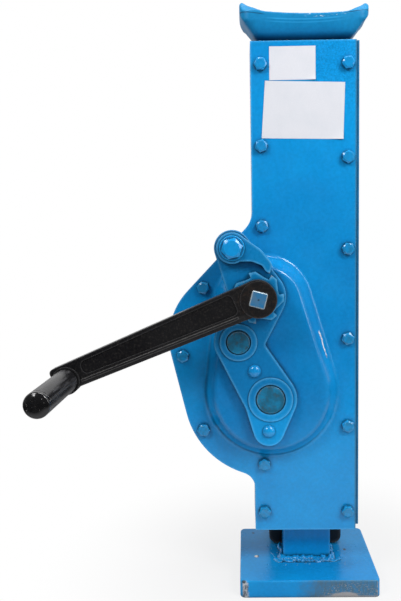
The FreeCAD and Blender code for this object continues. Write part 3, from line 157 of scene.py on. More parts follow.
class JackLabels(bpy.types.PropertyGroup):
    """The blank labels on the front cover."""

    thickness: FloatProperty(
        name="Thickness", description="Thickness of the paper", subtype="DISTANCE", unit="LENGTH",
        min=0, default=0.00018)
    lift: FloatProperty(
        name="Lift", description="How far a loose corner stands off", subtype="DISTANCE", unit="LENGTH",
        min=0, default=0.0022)


class JackStudio(bpy.types.PropertyGroup):
    """Lamps and floor."""

    right: FloatProperty(
        name="Right lamp", description="Power from the upper right", unit="POWER", default=16.5)
    strip: FloatProperty(
        name="Right strip", description="Power of the strip at the right", unit="POWER", default=4.5)
    left: FloatProperty(
        name="Left lamp", description="Power from the upper left", unit="POWER", default=12.5)
    top: FloatProperty(
        name="Top lamp", description="Power from above", unit="POWER", default=11)
    floor: FloatVectorProperty(
        name="Floor", description="Colour of the floor", subtype="COLOR", size=4, min=0, max=1,
        default=(0.62, 0.62, 0.63, 1))


# Objects and meshes


def only(piece):
    """Selects one object alone and makes it active."""
    bpy.ops.object.select_all(action="DESELECT")
    piece.select_set(True)
    bpy.context.view_layer.objects.active = piece


def select_where(piece, test, kind="faces"):
    """Selects a mesh's faces, edges or points that pass a test. Leaves edit mode on."""
    bpy.ops.object.mode_set(mode="EDIT")
    bpy.ops.mesh.select_mode(type={"faces": "FACE", "edges": "EDGE", "vertices": "VERT"}[kind])
    bpy.ops.mesh.select_all(action="DESELECT")
    bpy.ops.object.mode_set(mode="OBJECT")
    for element in getattr(piece.data, "polygons" if kind == "faces" else kind):
        element.select = test(element)
    bpy.ops.object.mode_set(mode="EDIT")


def apply_modifier(piece, kind, **settings):
    """Adds a modifier and applies it."""
    modifier = piece.modifiers.new(kind.title(), kind)
    for name, setting in settings.items():
        setattr(modifier, name, setting)
    only(piece)
    bpy.ops.object.modifier_apply(modifier=modifier.name)


def place_in_mesh(piece):
    """Puts an object's place, turn and size into its mesh."""
    only(piece)
    bpy.ops.object.transform_apply(location=True, rotation=True, scale=True)


def finish_piece(piece, material, body, slot, *nodes):
    """Gives a piece its material, the body it moves with, and the CAD forms it stands for."""
    piece.data.materials.clear()
    piece.data.materials.append(bpy.data.materials[material])
    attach(piece, body)
    if nodes:
        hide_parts(*nodes)


def plain_copy(name, node):
    """A copy of a CAD form with its points joined and its flat faces whole."""
    piece = bpy.data.objects.new(name, NODES[node].data.copy())
    bpy.context.scene.collection.objects.link(piece)
    only(piece)
    bpy.ops.mesh.customdata_custom_splitnormals_clear()
    bpy.ops.object.mode_set(mode="EDIT")
    bpy.ops.mesh.select_all(action="SELECT")
    bpy.ops.mesh.remove_doubles(threshold=0.000004)
    bpy.ops.mesh.dissolve_limited(angle_limit=math.radians(0.5))
    bpy.ops.object.mode_set(mode="OBJECT")
    return piece


def ease_edges(piece, width, segments, angle=28):
    """Rounds the edges of a piece that are sharper than an angle."""
    only(piece)
    bpy.ops.object.shade_smooth()
    apply_modifier(piece, "BEVEL", width=width, segments=segments, limit_method="ANGLE",
                   angle_limit=math.radians(angle), use_clamp_overlap=True, harden_normals=False,
                   miter_outer="MITER_ARC", loop_slide=False)
    bpy.ops.object.shade_smooth_by_angle(angle=math.radians(50))
    apply_modifier(piece, "WEIGHTED_NORMAL", keep_sharp=True, weight=80)


def eased_copy(name, node, width, segments, shape=None):
    """A copy of a CAD form whose sharp edges are rounded, after a further shaping step if one is given."""
    piece = plain_copy(name, node)
    if shape:
        shape(piece)
    ease_edges(piece, width, segments)
    return piece


# Node trees


class Wiring:
    """Adds and joins the nodes of one tree."""

    def __init__(self, tree):
        self.tree = tree

    def add(self, kind, **settings):
        """A new node with its settings."""
        node = self.tree.nodes.new(kind)
        for name, setting in settings.items():
            setattr(node, name, setting)
        return node

    def feed(self, socket, source):
        """Joins a socket to another, or sets its plain value."""
        if isinstance(source, bpy.types.NodeSocket):
            self.tree.links.new(source, socket)
        else:
            socket.default_value = source

    def math(self, operation, *sources, clamp=False):
        """One sum of up to three values."""
        node = self.add("ShaderNodeMath", operation=operation, use_clamp=clamp)
        for socket, source in zip(node.inputs, sources):
            self.feed(socket, source)
        return node.outputs[0]

    def times(self, *sources):
        """The product of two or more values."""
        product = sources[0]
        for source in sources[1:]:
            product = self.math("MULTIPLY", product, source)
        return product

    def most(self, first, second):
        """The larger of two values."""
        return self.math("MAXIMUM", first, second)

    def apart(self, first, second):
        """How far two values are from each other."""
        return self.math("ABSOLUTE", self.math("SUBTRACT", first, second))

    def vector(self, operation, *sources):
        """One sum of vectors."""
        node = self.add("ShaderNodeVectorMath", operation=operation)
        for socket, source in zip(node.inputs, sources):
            self.feed(socket, source)
        return node.outputs["Value" if operation == "LENGTH" else "Vector"]

    def span(self, source, low, high, first=0.0, last=1.0):
        """Turns a range of values into another, held at both ends."""
        node = self.add("ShaderNodeMapRange", interpolation_type="SMOOTHSTEP")
        for socket, value in zip(node.inputs, (source, low, high, first, last)):
            self.feed(socket, value)
        return node.outputs[0]

    def noise(self, place, scale, detail, roughness):
        """Noise between 0 and 1."""
        node = self.add("ShaderNodeTexNoise")
        for name, source in (
                ("Vector", place), ("Scale", scale), ("Detail", detail), ("Roughness", roughness)):
            self.feed(node.inputs[name], source)
        return node.outputs[0]

    def stretched(self, place, scale):
        """A place scaled along each axis."""
        node = self.add("ShaderNodeMapping")
        self.feed(node.inputs["Vector"], place)
        node.inputs["Scale"].default_value = scale
        return node.outputs[0]

    def mix(self, factor, first, second, kind="MIX"):
        """Two colours mixed by a factor."""
        node = self.add("ShaderNodeMix", data_type="RGBA", blend_type=kind)
        for index, source in ((0, factor), (6, first), (7, second)):
            self.feed(node.inputs[index], source)
        return node.outputs[2]

    def parts(self, place):
        """The X, Y and Z of a place."""
        node = self.add("ShaderNodeSeparateXYZ")
        self.feed(node.inputs[0], place)
        return node.outputs

    def shared(self, group, **sources):
        """A shared effect, fed by its input names."""
        node = self.add("ShaderNodeGroup", node_tree=bpy.data.node_groups[group])
        for name, source in sources.items():
            self.feed(node.inputs[name], source)
        return node.outputs

    def bump(self, height, depth, strength):
        """A normal from a height, its depth in metres and its strength."""
        node = self.add("ShaderNodeBump")
        node.inputs["Strength"].default_value = strength
        node.inputs["Distance"].default_value = depth
        self.feed(node.inputs["Height"], height)
        return node.outputs[0]


def new_group(name, inputs, outputs):
    """An empty shared effect with its sockets."""
    tree = bpy.data.node_groups.new(name, "ShaderNodeTree")
    for label, kind, default in inputs:
        socket = tree.interface.new_socket(label, in_out="INPUT", socket_type="NodeSocket" + kind)
        if default is not None:
            socket.default_value = default
    for label, kind in outputs:
        tree.interface.new_socket(label, in_out="OUTPUT", socket_type="NodeSocket" + kind)
    wiring = Wiring(tree)
    return wiring, wiring.add("NodeGroupInput").outputs, wiring.add("NodeGroupOutput").inputs


def make_edge_wear_and_highlight():
    """Paint gone from outer edges, small chips, and a pale rub along edges that is partly a painted
    highlight.
    """
    w, given, out = new_group(
        "Edge Wear", [("Place", "Vector", None), ("Reach", "Float", 0.004), ("Wear", "Float", 0.4),
                      ("Chips", "Float", 0.2)],
        [("Bare", "Float"), ("Rubbed", "Float")])
    inside = w.add("ShaderNodeAmbientOcclusion", inside=True, only_local=True, samples=6)
    w.feed(inside.inputs["Distance"], given["Reach"])
    edge = w.math("SUBTRACT", 1.0, inside.outputs["AO"])
    ragged = w.noise(given["Place"], 140.0, 6.0, 0.68)
    patches = w.noise(given["Place"], 22.0, 3.0, 0.5)
    level = w.math("ADD", w.times(edge, 1.1), w.math("MULTIPLY_ADD", ragged, 0.9, -0.55))
    level = w.math("ADD", level, w.math("MULTIPLY_ADD", patches, 1.2, -0.75))
    limit = w.math("MULTIPLY_ADD", given["Wear"], -0.9, 0.85)
    worn = w.span(w.math("SUBTRACT", level, limit), 0.0, 0.08)
    chip_field = w.noise(given["Place"], 75.0, 7.0, 0.62)
    chip_limit = w.math("MULTIPLY_ADD", given["Chips"], -0.12, 0.80)
    chips = w.span(w.math("SUBTRACT", chip_field, chip_limit), 0.0, 0.02)
    w.feed(out["Bare"], w.most(worn, chips))
    # A mask along all outer edges, used as rubbed paint and as a painted edge highlight.
    w.feed(out["Rubbed"], w.span(edge, 0.08, 0.5))


def make_grime_and_shade():
    """Dust and oil in corners, partly painted shade there, and a painted contact shadow: a dark line close
    beside what stands on a surface.
    """
    w, given, out = new_group(
        "Settled Grime", [("Place", "Vector", None), ("Reach", "Float", 0.007), ("Amount", "Float", 0.5)],
        [("Grime", "Float")])
    # Darker in corners and hollows: settled dirt, partly painted shade.
    open_sky = w.add("ShaderNodeAmbientOcclusion", inside=False, only_local=False, samples=6)
    w.feed(open_sky.inputs["Distance"], given["Reach"])
    shut = w.span(open_sky.outputs["AO"], 0.92, 0.40)
    cloud = w.span(w.noise(given["Place"], 60.0, 4.0, 0.6), 0.3, 0.65, 0.55, 1.0)
    # Painted contact shadow: a dark line where something stands close on the surface.
    close = w.add("ShaderNodeAmbientOcclusion", inside=False, only_local=False, samples=6)
    w.feed(close.inputs["Distance"], w.times(given["Reach"], 0.45))
    painted_shading_line = w.span(close.outputs["AO"], 0.90, 0.50)
    settled_and_shaded = w.most(w.times(shut, cloud), painted_shading_line)
    w.feed(out["Grime"], w.math("MULTIPLY", settled_and_shaded, given["Amount"], clamp=True))


def make_orange_peel():
    """The uneven skin of brushed or sprayed enamel."""
    w, given, out = new_group(
        "Orange Peel", [("Place", "Vector", None), ("Scale", "Float", 330.0)], [("Height", "Float")])
    skin = w.noise(given["Place"], given["Scale"], 2.0, 0.45)
    runs = w.noise(w.stretched(given["Place"], (1, 1, 0.4)), 40.0, 2.0, 0.5)
    w.feed(out["Height"], w.math("MULTIPLY_ADD", runs, 1.6, skin))


def make_scuffs():
    """Fine scratches that run every way, and duller rubbed patches."""
    w, given, out = new_group(
        "Scuffs", [("Place", "Vector", None), ("Amount", "Float", 0.3)],
        [("Scratch", "Float"), ("Dull", "Float")])
    lines = None
    for turn in ((0.3, 0.2, 1.1), (1.2, 0.7, 0.1), (0.4, 1.3, 0.6)):
        mapping = w.add("ShaderNodeMapping")
        w.feed(mapping.inputs["Vector"], given["Place"])
        mapping.inputs["Rotation"].default_value = turn
        mapping.inputs["Scale"].default_value = (900.0, 26.0, 26.0)
        field = w.span(w.noise(mapping.outputs[0], 1.0, 2.0, 0.5), 0.745, 0.80)
        lines = field if lines is None else w.most(lines, field)
    where = w.span(w.noise(given["Place"], 14.0, 3.0, 0.5), 0.45, 0.7)
    w.feed(out["Scratch"], w.math("MULTIPLY", w.times(lines, where), given["Amount"], clamp=True))
    w.feed(out["Dull"], w.span(w.noise(given["Place"], 30.0, 5.0, 0.6), 0.3, 0.7))


# Materials


def new_material(name):
    """An empty material with its shader and Object coordinates."""
    material = bpy.data.materials.new(name)
    material.use_nodes = True
    wiring = Wiring(material.node_tree)
    shader = material.node_tree.nodes["Principled BSDF"]
    place = wiring.add("ShaderNodeTexCoord").outputs["Object"]
    return wiring, shader, place


def spot(w, place, centre, radius, ragged, scale, squeeze=(1, 1, 1)):
    """A mask around one point, 1 inside and 0 outside, with a ragged rim."""
    offset = w.vector("MULTIPLY", w.vector("SUBTRACT", place, centre), squeeze)
    uneven = w.math("MULTIPLY_ADD", w.noise(place, scale, 5.0, 0.65), ragged * 2, -ragged)
    return w.span(w.math("ADD", w.vector("LENGTH", offset), uneven), radius, radius * 0.7)


def enamel(name, colour, deep, wear, reach=0.004, chips=0.2, grime=0.75, gloss=0.24, sheen=0.22,
           rub=BLUE_RUB_AND_HIGHLIGHT, peel=0.00012, marks=None, tint=None):
    """Painted steel. Marks is a mask of paint gone by use, and tint changes the paint's colour. Edges are
    painted paler, partly rub and partly painted highlight, and corners and contact lines darker, partly grime
    and partly painted shade.
    """
    finish = bpy.context.scene.jack_finish
    w, shader, place = new_material(name)
    cloud = w.span(w.noise(place, 7.0, 4.0, 0.55), 0.3, 0.7)
    paint = w.mix(cloud, colour, deep)
    scuffs = w.shared("Scuffs", Place=place, Amount=0.5)
    fine = w.span(w.noise(place, 240.0, 3.0, 0.6), 0.25, 0.75, 0.93, 1.06)
    paint = w.mix(1.0, paint, fine, "MULTIPLY")
    if tint:
        paint = tint(w, place, paint)
    edges = w.shared("Edge Wear", Place=place, Reach=reach, Wear=wear, Chips=chips)
    dirt_and_shade = w.shared("Settled Grime", Place=place, Amount=grime)["Grime"]
    pale_wear_and_highlight = w.mix(1.0, paint, rub, "ADD")
    # Painted highlight along outer edges, partly rubbed paint.
    paint = w.mix(w.times(edges["Rubbed"], 0.7), paint, pale_wear_and_highlight)
    paint = w.mix(w.times(scuffs["Scratch"], 0.5), paint, pale_wear_and_highlight)
    # Painted shade in corners and beside standing parts, partly settled grime.
    paint = w.mix(dirt_and_shade, paint, w.mix(1.0, paint, tuple(finish.grime), "MULTIPLY"))
    bare = edges["Bare"]
    if marks:
        bare = w.most(bare, marks(w, place))
    rusty = w.span(w.noise(place, 180.0, 5.0, 0.7), 0.42, 0.66)
    steel = w.mix(w.times(rusty, 0.75), tuple(finish.bare_steel), tuple(finish.rust))
    w.feed(shader.inputs["Base Color"], w.mix(bare, paint, steel))
    rough = w.math("MULTIPLY_ADD", scuffs["Dull"], 0.10, gloss - 0.05)
    rough = w.math("ADD", rough, w.times(bare, 0.22))
    w.feed(shader.inputs["Roughness"], w.math("ADD", rough, w.times(dirt_and_shade, 0.25), clamp=True))
    w.feed(shader.inputs["Metallic"], w.times(bare, w.span(rusty, 0.0, 1.0, 0.75, 0.1)))
    shader.inputs["Specular IOR Level"].default_value = sheen
    skin = w.shared("Orange Peel", Place=place)["Height"]
    height = w.math("SUBTRACT", skin, w.times(bare, 1.4))
    w.feed(shader.inputs["Normal"], w.bump(height, peel, 0.55))


def foot_front(w, place):
    """1 on the foot plate's front face and 0 elsewhere."""
    return w.span(w.parts(place)["Y"], -0.0690, -0.0704)


def foot_marks(w, place):
    """Bare specks on the right of the foot plate's front face and at its right corner."""
    right = spot(w, place, (0.0880, -0.071, 0.011), 0.0050, 0.0035, 190.0, (1, 1, 0.30))
    scraped = spot(w, place, (0.055, -0.071, 0.007), 0.036, 0.012, 60.0, (0.8, 1, 2.4))
    speckle = w.span(w.noise(w.stretched(place, (1, 1, 1.6)), 420.0, 6.0, 0.75), 0.55, 0.62)
    masks = w.most(right, w.times(scraped, speckle))
    return w.times(masks, foot_front(w, place))


def foot_tint(w, place, paint):
    """Paint rubbed grey on the right of the front face, a chalky corner and chip, and dark spots on top."""
    axes = w.parts(place)
    front = foot_front(w, place)
    smear = spot(w, place, (0.066, -0.071, 0.007), 0.085, 0.020, 45.0, (1, 1, 1.5))
    streak = w.span(w.noise(w.stretched(place, (1, 1, 0.35)), 300.0, 5.0, 0.7), 0.30, 0.65, 0.55, 1.0)
    paint = w.mix(w.times(smear, streak, front, 0.9), paint, (0.072, 0.135, 0.180, 1))
    low = spot(w, place, (0.043, -0.071, 0.000), 0.0140, 0.004, 130.0, (0.62, 1, 1.7))
    strip = w.times(w.span(axes["Z"], 0.0040, 0.0014), w.span(axes["X"], 0.0, 0.03))
    worn = w.times(w.most(low, w.times(strip, 0.7)), front, 0.85)
    paint = w.mix(worn, paint, (0.380, 0.360, 0.360, 1))
    corner = spot(w, place, (-0.0875, -0.071, 0.007), 0.0125, 0.0045, 170.0, (1, 1, 0.45))
    flakes = w.span(w.noise(w.stretched(place, (1, 1, 0.45)), 260.0, 5.0, 0.7), 0.40, 0.60)
    chalk = w.mix(flakes, (0.62, 0.61, 0.59, 1), (0.090, 0.090, 0.090, 1))
    paint = w.mix(w.times(front, corner, 0.9), paint, chalk)
    chip = spot(w, place, (-0.0656, -0.0098, 0.022), 0.0034, 0.0014, 300.0)
    shade = w.span(axes["X"], -0.0652, -0.0636)
    paint = w.mix(chip, paint, w.mix(shade, (0.78, 0.74, 0.66, 1), (0.110, 0.075, 0.045, 1)))
    for centre, size in (((-0.0694, 0.0565, 0.022), 0.0022), ((0.0546, 0.0073, 0.022), 0.0028),
                         ((-0.0834, -0.0715, 0.0215), 0.0036)):
        dark_spot = spot(w, place, centre, size, 0.0012, 350.0)
        paint = w.mix(w.times(dark_spot, 0.85), paint, (0.006, 0.020, 0.032, 1))
    return paint


def cover_tint(w, place, paint):
    """Painted shade on the bulge's left part and around the crank's height, painted shade in the crease
    around the bulge's foot, a dark right edge and one pale scratch.
    """
    axes = w.parts(place)
    # Painted shade: darker on the bulge's left part, and in a band around the crank's height.
    painted_shade = w.times(w.span(axes["Y"], -0.0470, -0.0580), w.span(axes["X"], 0.045, 0.010))
    painted_shade = w.most(painted_shade, w.span(w.apart(axes["Z"], 0.370), 0.170, 0.040, 0.0, 0.5))
    paint = w.mix(painted_shade, paint, w.mix(1.0, paint, (0.8, 0.74, 0.78, 1), "MULTIPLY"))
    # Painted shade in the crease at the bulge's foot, strongest low on the left.
    crease_shade = w.times(
        w.span(axes["Y"], -0.0413, -0.0428), w.span(axes["Y"], -0.0490, -0.0438),
        w.span(axes["Z"], 0.400, 0.230, 0.12, 0.62), w.span(axes["X"], 0.040, -0.030, 0.15, 1.0),
        w.span(w.noise(place, 50.0, 4.0, 0.6), 0.3, 0.6, 0.5, 1.0))
    paint = w.mix(crease_shade, paint, (0.004, 0.055, 0.110, 1))
    right = w.times(w.span(axes["X"], 0.0590, 0.0608), 0.65)
    paint = w.mix(right, paint, (0.006, 0.080, 0.170, 1))
    where = w.times(w.span(axes["X"], -0.03, 0.03), w.span(axes["Z"], 0.56, 0.66))
    grain = w.mix(1.0, paint, w.span(w.noise(place, 620.0, 3.0, 0.6), 0.3, 0.7, 0.82, 1.18), "MULTIPLY")
    paint = w.mix(where, paint, grain)
    middle = w.math("MULTIPLY_ADD", axes["Z"], -0.30, 0.1142)
    wander = w.math("MULTIPLY_ADD", w.noise(place, 120.0, 3.0, 0.6), 0.004, -0.002)
    off = w.apart(axes["X"], w.math("ADD", middle, wander))
    reach = w.times(w.span(axes["Z"], 0.298, 0.304), w.span(axes["Z"], 0.335, 0.329))
    broken = w.span(w.noise(place, 210.0, 4.0, 0.6), 0.38, 0.48)
    scratch = w.times(w.span(off, 0.0011, 0.0005), reach, broken)
    brown = w.span(w.noise(place, 330.0, 4.0, 0.6), 0.50, 0.62)
    return w.mix(scratch, paint, w.mix(brown, (0.80, 0.80, 0.77, 1), (0.20, 0.15, 0.10, 1)))


def saddle_tint(w, place, paint):
    """Painted highlights on faint ridges and partly on pale chips at the front edge, painted shade in the
    creases below the horns and on its foot, and the whole paint darkened as painted shade.
    """
    axes = w.parts(place)
    out = w.math("ABSOLUTE", axes["X"])
    seat = w.math("MULTIPLY_ADD", w.times(axes["X"], axes["X"]), 1.1, 0.7182)
    below = w.math("SUBTRACT", seat, axes["Z"])
    # Painted shade: the whole saddle's paint darkened because it sits near the lamps.
    paint = w.mix(1.0, paint, (0.9, 0.77, 0.71, 1), "MULTIPLY")
    # Painted highlights: two faint pale lines on the front face that stand for light caught by low ridges.
    for at, strength in ((0.0052, 0.5), (0.0088, 0.35)):
        ridge_highlight = w.times(w.span(w.apart(below, at), 0.0012, 0.0003), w.span(out, 0.055, 0.030), strength)
        paint = w.mix(ridge_highlight, paint, (0.03, 0.36, 0.72, 1))
    # Pale flecks along the front top edge: chips, and partly a painted highlight on that edge.
    chips = w.times(
        w.span(below, 0.0038, 0.0024), w.span(axes["Y"], -0.027, -0.030),
        w.span(w.apart(axes["X"], 0.026), 0.030, 0.020),
        w.span(w.noise(w.stretched(place, (1, 1, 2.0)), 210.0, 5.0, 0.7), 0.57, 0.65))
    paint = w.mix(chips, paint, (0.50, 0.64, 0.72, 1))
    # Painted shade in the creases below the horns.
    crease_shade = w.apart(axes["Z"], w.math("MULTIPLY_ADD", out, 0.145, 0.71255))
    crease_shade = w.times(
        w.span(crease_shade, 0.0010, 0.0003), w.span(out, 0.046, 0.054),
        w.span(axes["Y"], -0.018, -0.024, 0.0, 0.7))
    paint = w.mix(crease_shade, paint, (0.003, 0.040, 0.090, 1))
    # Painted shade: the foot next to the joint with the housing made nearly black.
    low = w.span(axes["Z"], 0.7006, 0.6900)
    return w.mix(w.times(low, 0.88), paint, (0.003, 0.014, 0.030, 1))


def fastener_tint(w, place, paint):
    """Uneven, darker and greener colour on the cover's bolts, more so low down."""
    axes = w.parts(place)
    uneven = w.span(w.noise(place, 260.0, 5.0, 0.65), 0.35, 0.65, 0.25, 0.8)
    low = w.times(w.span(axes["Z"], 0.62, 0.45, 0.35, 1.0), w.span(axes["Y"], -0.060, -0.055))
    return w.mix(w.times(uneven, low), paint, (0.014, 0.165, 0.330, 1))


def bracket_tint(w, place, paint):
    """Painted shade: darker on the bracket above its lower rivet, where the crank arm shades it."""
    # Painted shade above the lower rivet.
    painted_shade = w.span(w.parts(place)["Z"], 0.215, 0.275)
    return w.mix(painted_shade, paint, w.mix(1.0, paint, (0.8, 0.66, 0.68, 1), "MULTIPLY"))


def wall_tint(w, place, paint):
    """The housing's wall is darker than its cover: partly darker paint, partly painted shade."""
    uneven = w.span(w.noise(place, 35.0, 4.0, 0.6), 0.3, 0.7, 0.45, 0.75)
    # Darker, partly paint and partly painted shade.
    return w.mix(uneven, paint, (0.006, 0.060, 0.135, 1))


def rack_tint(w, place, paint):
    """The rack's foot is painted with the base, and the steel above is bare and oiled."""
    axes = w.parts(place)
    ragged = w.math("MULTIPLY_ADD", w.noise(place, 45.0, 4.0, 0.6), 0.024, 0.060)
    above = w.span(w.math("SUBTRACT", axes["Z"], ragged), 0.012, 0.016)
    thin = w.span(w.noise(place, 25.0, 4.0, 0.6), 0.35, 0.65)
    return w.mix(above, paint, w.mix(thin, (0.11, 0.11, 0.105, 1), (0.20, 0.20, 0.19, 1)))


def make_steel(name, light, dark, rough, stretch):
    """Machined steel with fine tool lines, slightly oiled."""
    w, shader, place = new_material(name)
    lines = w.noise(w.stretched(place, stretch), 1.0, 3.0, 0.6)
    stains = w.span(w.noise(place, 40.0, 5.0, 0.6), 0.3, 0.7)
    colour = w.mix(w.span(lines, 0.3, 0.7), dark, light)
    dirt_and_shade = w.shared("Settled Grime", Place=place, Amount=0.7)["Grime"]
    colour = w.mix(w.times(stains, 0.35), colour, (0.09, 0.075, 0.055, 1))
    # Darker in corners and along contact lines: grime, partly painted shade.
    w.feed(shader.inputs["Base Color"], w.mix(dirt_and_shade, colour, (0.02, 0.018, 0.015, 1)))
    w.feed(shader.inputs["Roughness"], w.math("MULTIPLY_ADD", stains, 0.16, rough))
    shader.inputs["Metallic"].default_value = 0.9
    w.feed(shader.inputs["Normal"], w.bump(lines, 0.00005, 0.5))


def make_shaft_end():
    """Shaft ends: steel smeared with blue paint, oil and brown stains."""
    finish = bpy.context.scene.jack_finish
    w, shader, place = new_material("shaft_end_steel")
    smear = w.span(w.noise(place, 75.0, 5.0, 0.65), 0.36, 0.62)
    colour = w.mix(smear, (0.006, 0.190, 0.370, 1), (0.008, 0.110, 0.200, 1))
    brown = w.span(w.noise(place, 190.0, 6.0, 0.70), 0.50, 0.64)
    colour = w.mix(w.times(brown, 0.45), colour, (0.050, 0.045, 0.020, 1))
    edges = w.shared("Edge Wear", Place=place, Reach=0.0025, Wear=0.6, Chips=0.1)
    colour = w.mix(w.times(edges["Bare"], 0.8), colour, tuple(finish.bare_steel))
    inner = w.span(w.parts(place)["Y"], -0.0675, -0.0655)
    colour = w.mix(inner, colour, (0.16, 0.16, 0.15, 1))
    w.feed(shader.inputs["Base Color"], colour)
    w.feed(shader.inputs["Roughness"], w.math("MULTIPLY_ADD", smear, 0.15, 0.38))
    shader.inputs["Specular IOR Level"].default_value = 0.2
    w.feed(shader.inputs["Metallic"], w.most(w.times(edges["Bare"], 0.8), inner))
    rough_face = w.noise(place, 260.0, 4.0, 0.6)
    w.feed(shader.inputs["Normal"], w.bump(rough_face, 0.0002, 0.4))


def make_crank_end():
    """The crank's square end: thin blue paint over steel, rubbed bright along its edges."""
    finish = bpy.context.scene.jack_finish
    w, shader, place = new_material("crank_steel")
    thin = w.span(w.noise(place, 120.0, 5.0, 0.6), 0.35, 0.65)
    colour = w.mix(thin, (0.016, 0.150, 0.330, 1), (0.050, 0.150, 0.270, 1))
    edges = w.shared("Edge Wear", Place=place, Reach=0.0016, Wear=0.85, Chips=0.2)
    end = (CRANK_X, -0.1061, CRANK_Z)
    centre = spot(w, place, end, 0.0013, 0.0004, 600.0)
    axes = w.parts(w.vector("SUBTRACT", place, end))
    cosine, sine = 0.966, 0.259
    first = w.math("SUBTRACT", w.times(axes["X"], cosine), w.times(axes["Z"], sine))
    second = w.math("ADD", w.times(axes["X"], sine), w.times(axes["Z"], cosine))
    outward = w.most(w.math("ABSOLUTE", first), w.math("ABSOLUTE", second))
    grain = w.noise(place, 300.0, 4.0, 0.6)
    rim = w.times(w.span(outward, 0.0079, 0.0085), w.span(grain, 0.3, 0.5, 0.4, 1.0))
    rubbed = w.most(edges["Bare"], rim)
    colour = w.mix(rubbed, colour, (0.46, 0.56, 0.62, 1))
    colour = w.mix(w.times(centre, 0.8), colour, (0.010, 0.020, 0.030, 1))
    inner = w.span(w.parts(place)["Y"], -0.100, -0.098)
    colour = w.mix(inner, colour, tuple(finish.bare_steel))
    w.feed(shader.inputs["Base Color"], colour)
    w.feed(shader.inputs["Roughness"], w.math("MULTIPLY_ADD", thin, 0.12, 0.34))
    w.feed(shader.inputs["Metallic"], w.most(w.times(rubbed, 0.5), inner))
    w.feed(shader.inputs["Normal"], w.bump(grain, 0.00015, 0.4))


def make_grip():
    """Black tube rubbed grey in streaks along its length, darker and shinier at its end."""
    w, shader, place = new_material("grip_tube")
    streaks = w.noise(w.stretched(place, (330.0, 22.0, 330.0)), 1.0, 5.0, 0.65)
    patches = w.noise(w.stretched(place, (70.0, 25.0, 70.0)), 1.0, 4.0, 0.6)
    rubbed = w.times(w.span(streaks, 0.40, 0.66), w.span(patches, 0.36, 0.58))
    colour = w.mix(rubbed, (0.008, 0.008, 0.009, 1), (0.060, 0.060, 0.064, 1))
    end = w.span(w.parts(place)["Y"], -0.200, -0.206)
    colour = w.mix(end, colour, (0.009, 0.009, 0.010, 1))
    edges = w.shared("Edge Wear", Place=place, Reach=0.0022, Wear=0.62, Chips=0.15)
    bare = w.times(edges["Bare"], 0.7)
    colour = w.mix(bare, colour, (0.40, 0.40, 0.40, 1))
    w.feed(shader.inputs["Base Color"], colour)
    dull = w.span(rubbed, 0.0, 1.0, 0.30, 0.48)
    w.feed(shader.inputs["Roughness"], w.math("MULTIPLY_ADD", end, -0.14, dull))
    shader.inputs["Specular IOR Level"].default_value = 0.28
    w.feed(shader.inputs["Normal"], w.bump(streaks, 0.00015, 0.5))


def pin_nicks_and_glints(w, place):
    """Small bright nicks on the head of the grip's pin, partly painted glints."""
    return w.times(w.span(w.noise(place, 330.0, 3.0, 0.6), 0.65, 0.70), 0.7)


def arm_tint(w, place, paint):
    """Painted highlights along the edges of the rib on the crank's lower edge, brown handling wear on its
    hub, and grey dust.
    """
    axes = w.parts(w.vector("SUBTRACT", place, (CRANK_X, 0, CRANK_Z)))
    cosine, sine = 0.926, 0.378
    along = w.math("SUBTRACT", w.times(axes["X"], -cosine), w.times(axes["Z"], sine))
    across = w.math("SUBTRACT", w.times(axes["X"], sine), w.times(axes["Z"], cosine))
    inward = w.math("SUBTRACT", w.math("MULTIPLY_ADD", along, -ARM_TAPER, ARM_HALF), across)
    reach = w.times(w.span(along, 0.024, 0.034), w.span(along, 0.232, 0.222))
    patchy = w.times(reach, w.span(w.noise(place, 90.0, 4.0, 0.6), 0.3, 0.55, 0.4, 1.0))
    # Painted highlights: pale lines along the rib's two sides.
    for at in RIB_SIDES:
        painted_shading_line = w.span(w.apart(inward, at), 0.0008, 0.0002)
        paint = w.mix(w.times(painted_shading_line, patchy), paint, (0.062, 0.061, 0.060, 1))
    near = spot(w, place, (-0.0614, -0.104, 0.3785), 0.030, 0.008, 90.0)
    worn = w.times(near, w.span(w.noise(place, 170.0, 5.0, 0.68), 0.45, 0.70))
    paint = w.mix(w.times(worn, 0.55), paint, (0.036, 0.024, 0.018, 1))
    dusty = w.span(w.noise(place, 420.0, 6.0, 0.75), 0.50, 0.68)
    return w.mix(w.times(dusty, 0.6), paint, (0.040, 0.036, 0.033, 1))


def make_paper():
    """Blank matt paper with faint creases and fibre."""
    finish = bpy.context.scene.jack_finish
    w, shader, place = new_material("label_paper")
    fibre = w.noise(place, 1400.0, 4.0, 0.7)
    stain = w.span(w.noise(place, 26.0, 4.0, 0.55), 0.42, 0.72, 0.0, 0.35)
    tone = w.mix(w.span(fibre, 0.3, 0.7), tuple(finish.paper), (0.67, 0.68, 0.72, 1))
    w.feed(shader.inputs["Base Color"], w.mix(stain, tone, (0.55, 0.58, 0.63, 1)))
    w.feed(shader.inputs["Roughness"], w.span(stain, 0.0, 0.35, 0.52, 0.62))
    shader.inputs["Specular IOR Level"].default_value = 0.3
    waves = w.noise(w.stretched(place, (1, 1, 0.5)), 55.0, 3.0, 0.5)
    height = w.math("MULTIPLY_ADD", waves, 5.0, fibre)
    w.feed(shader.inputs["Normal"], w.bump(height, 0.00012, 0.35))


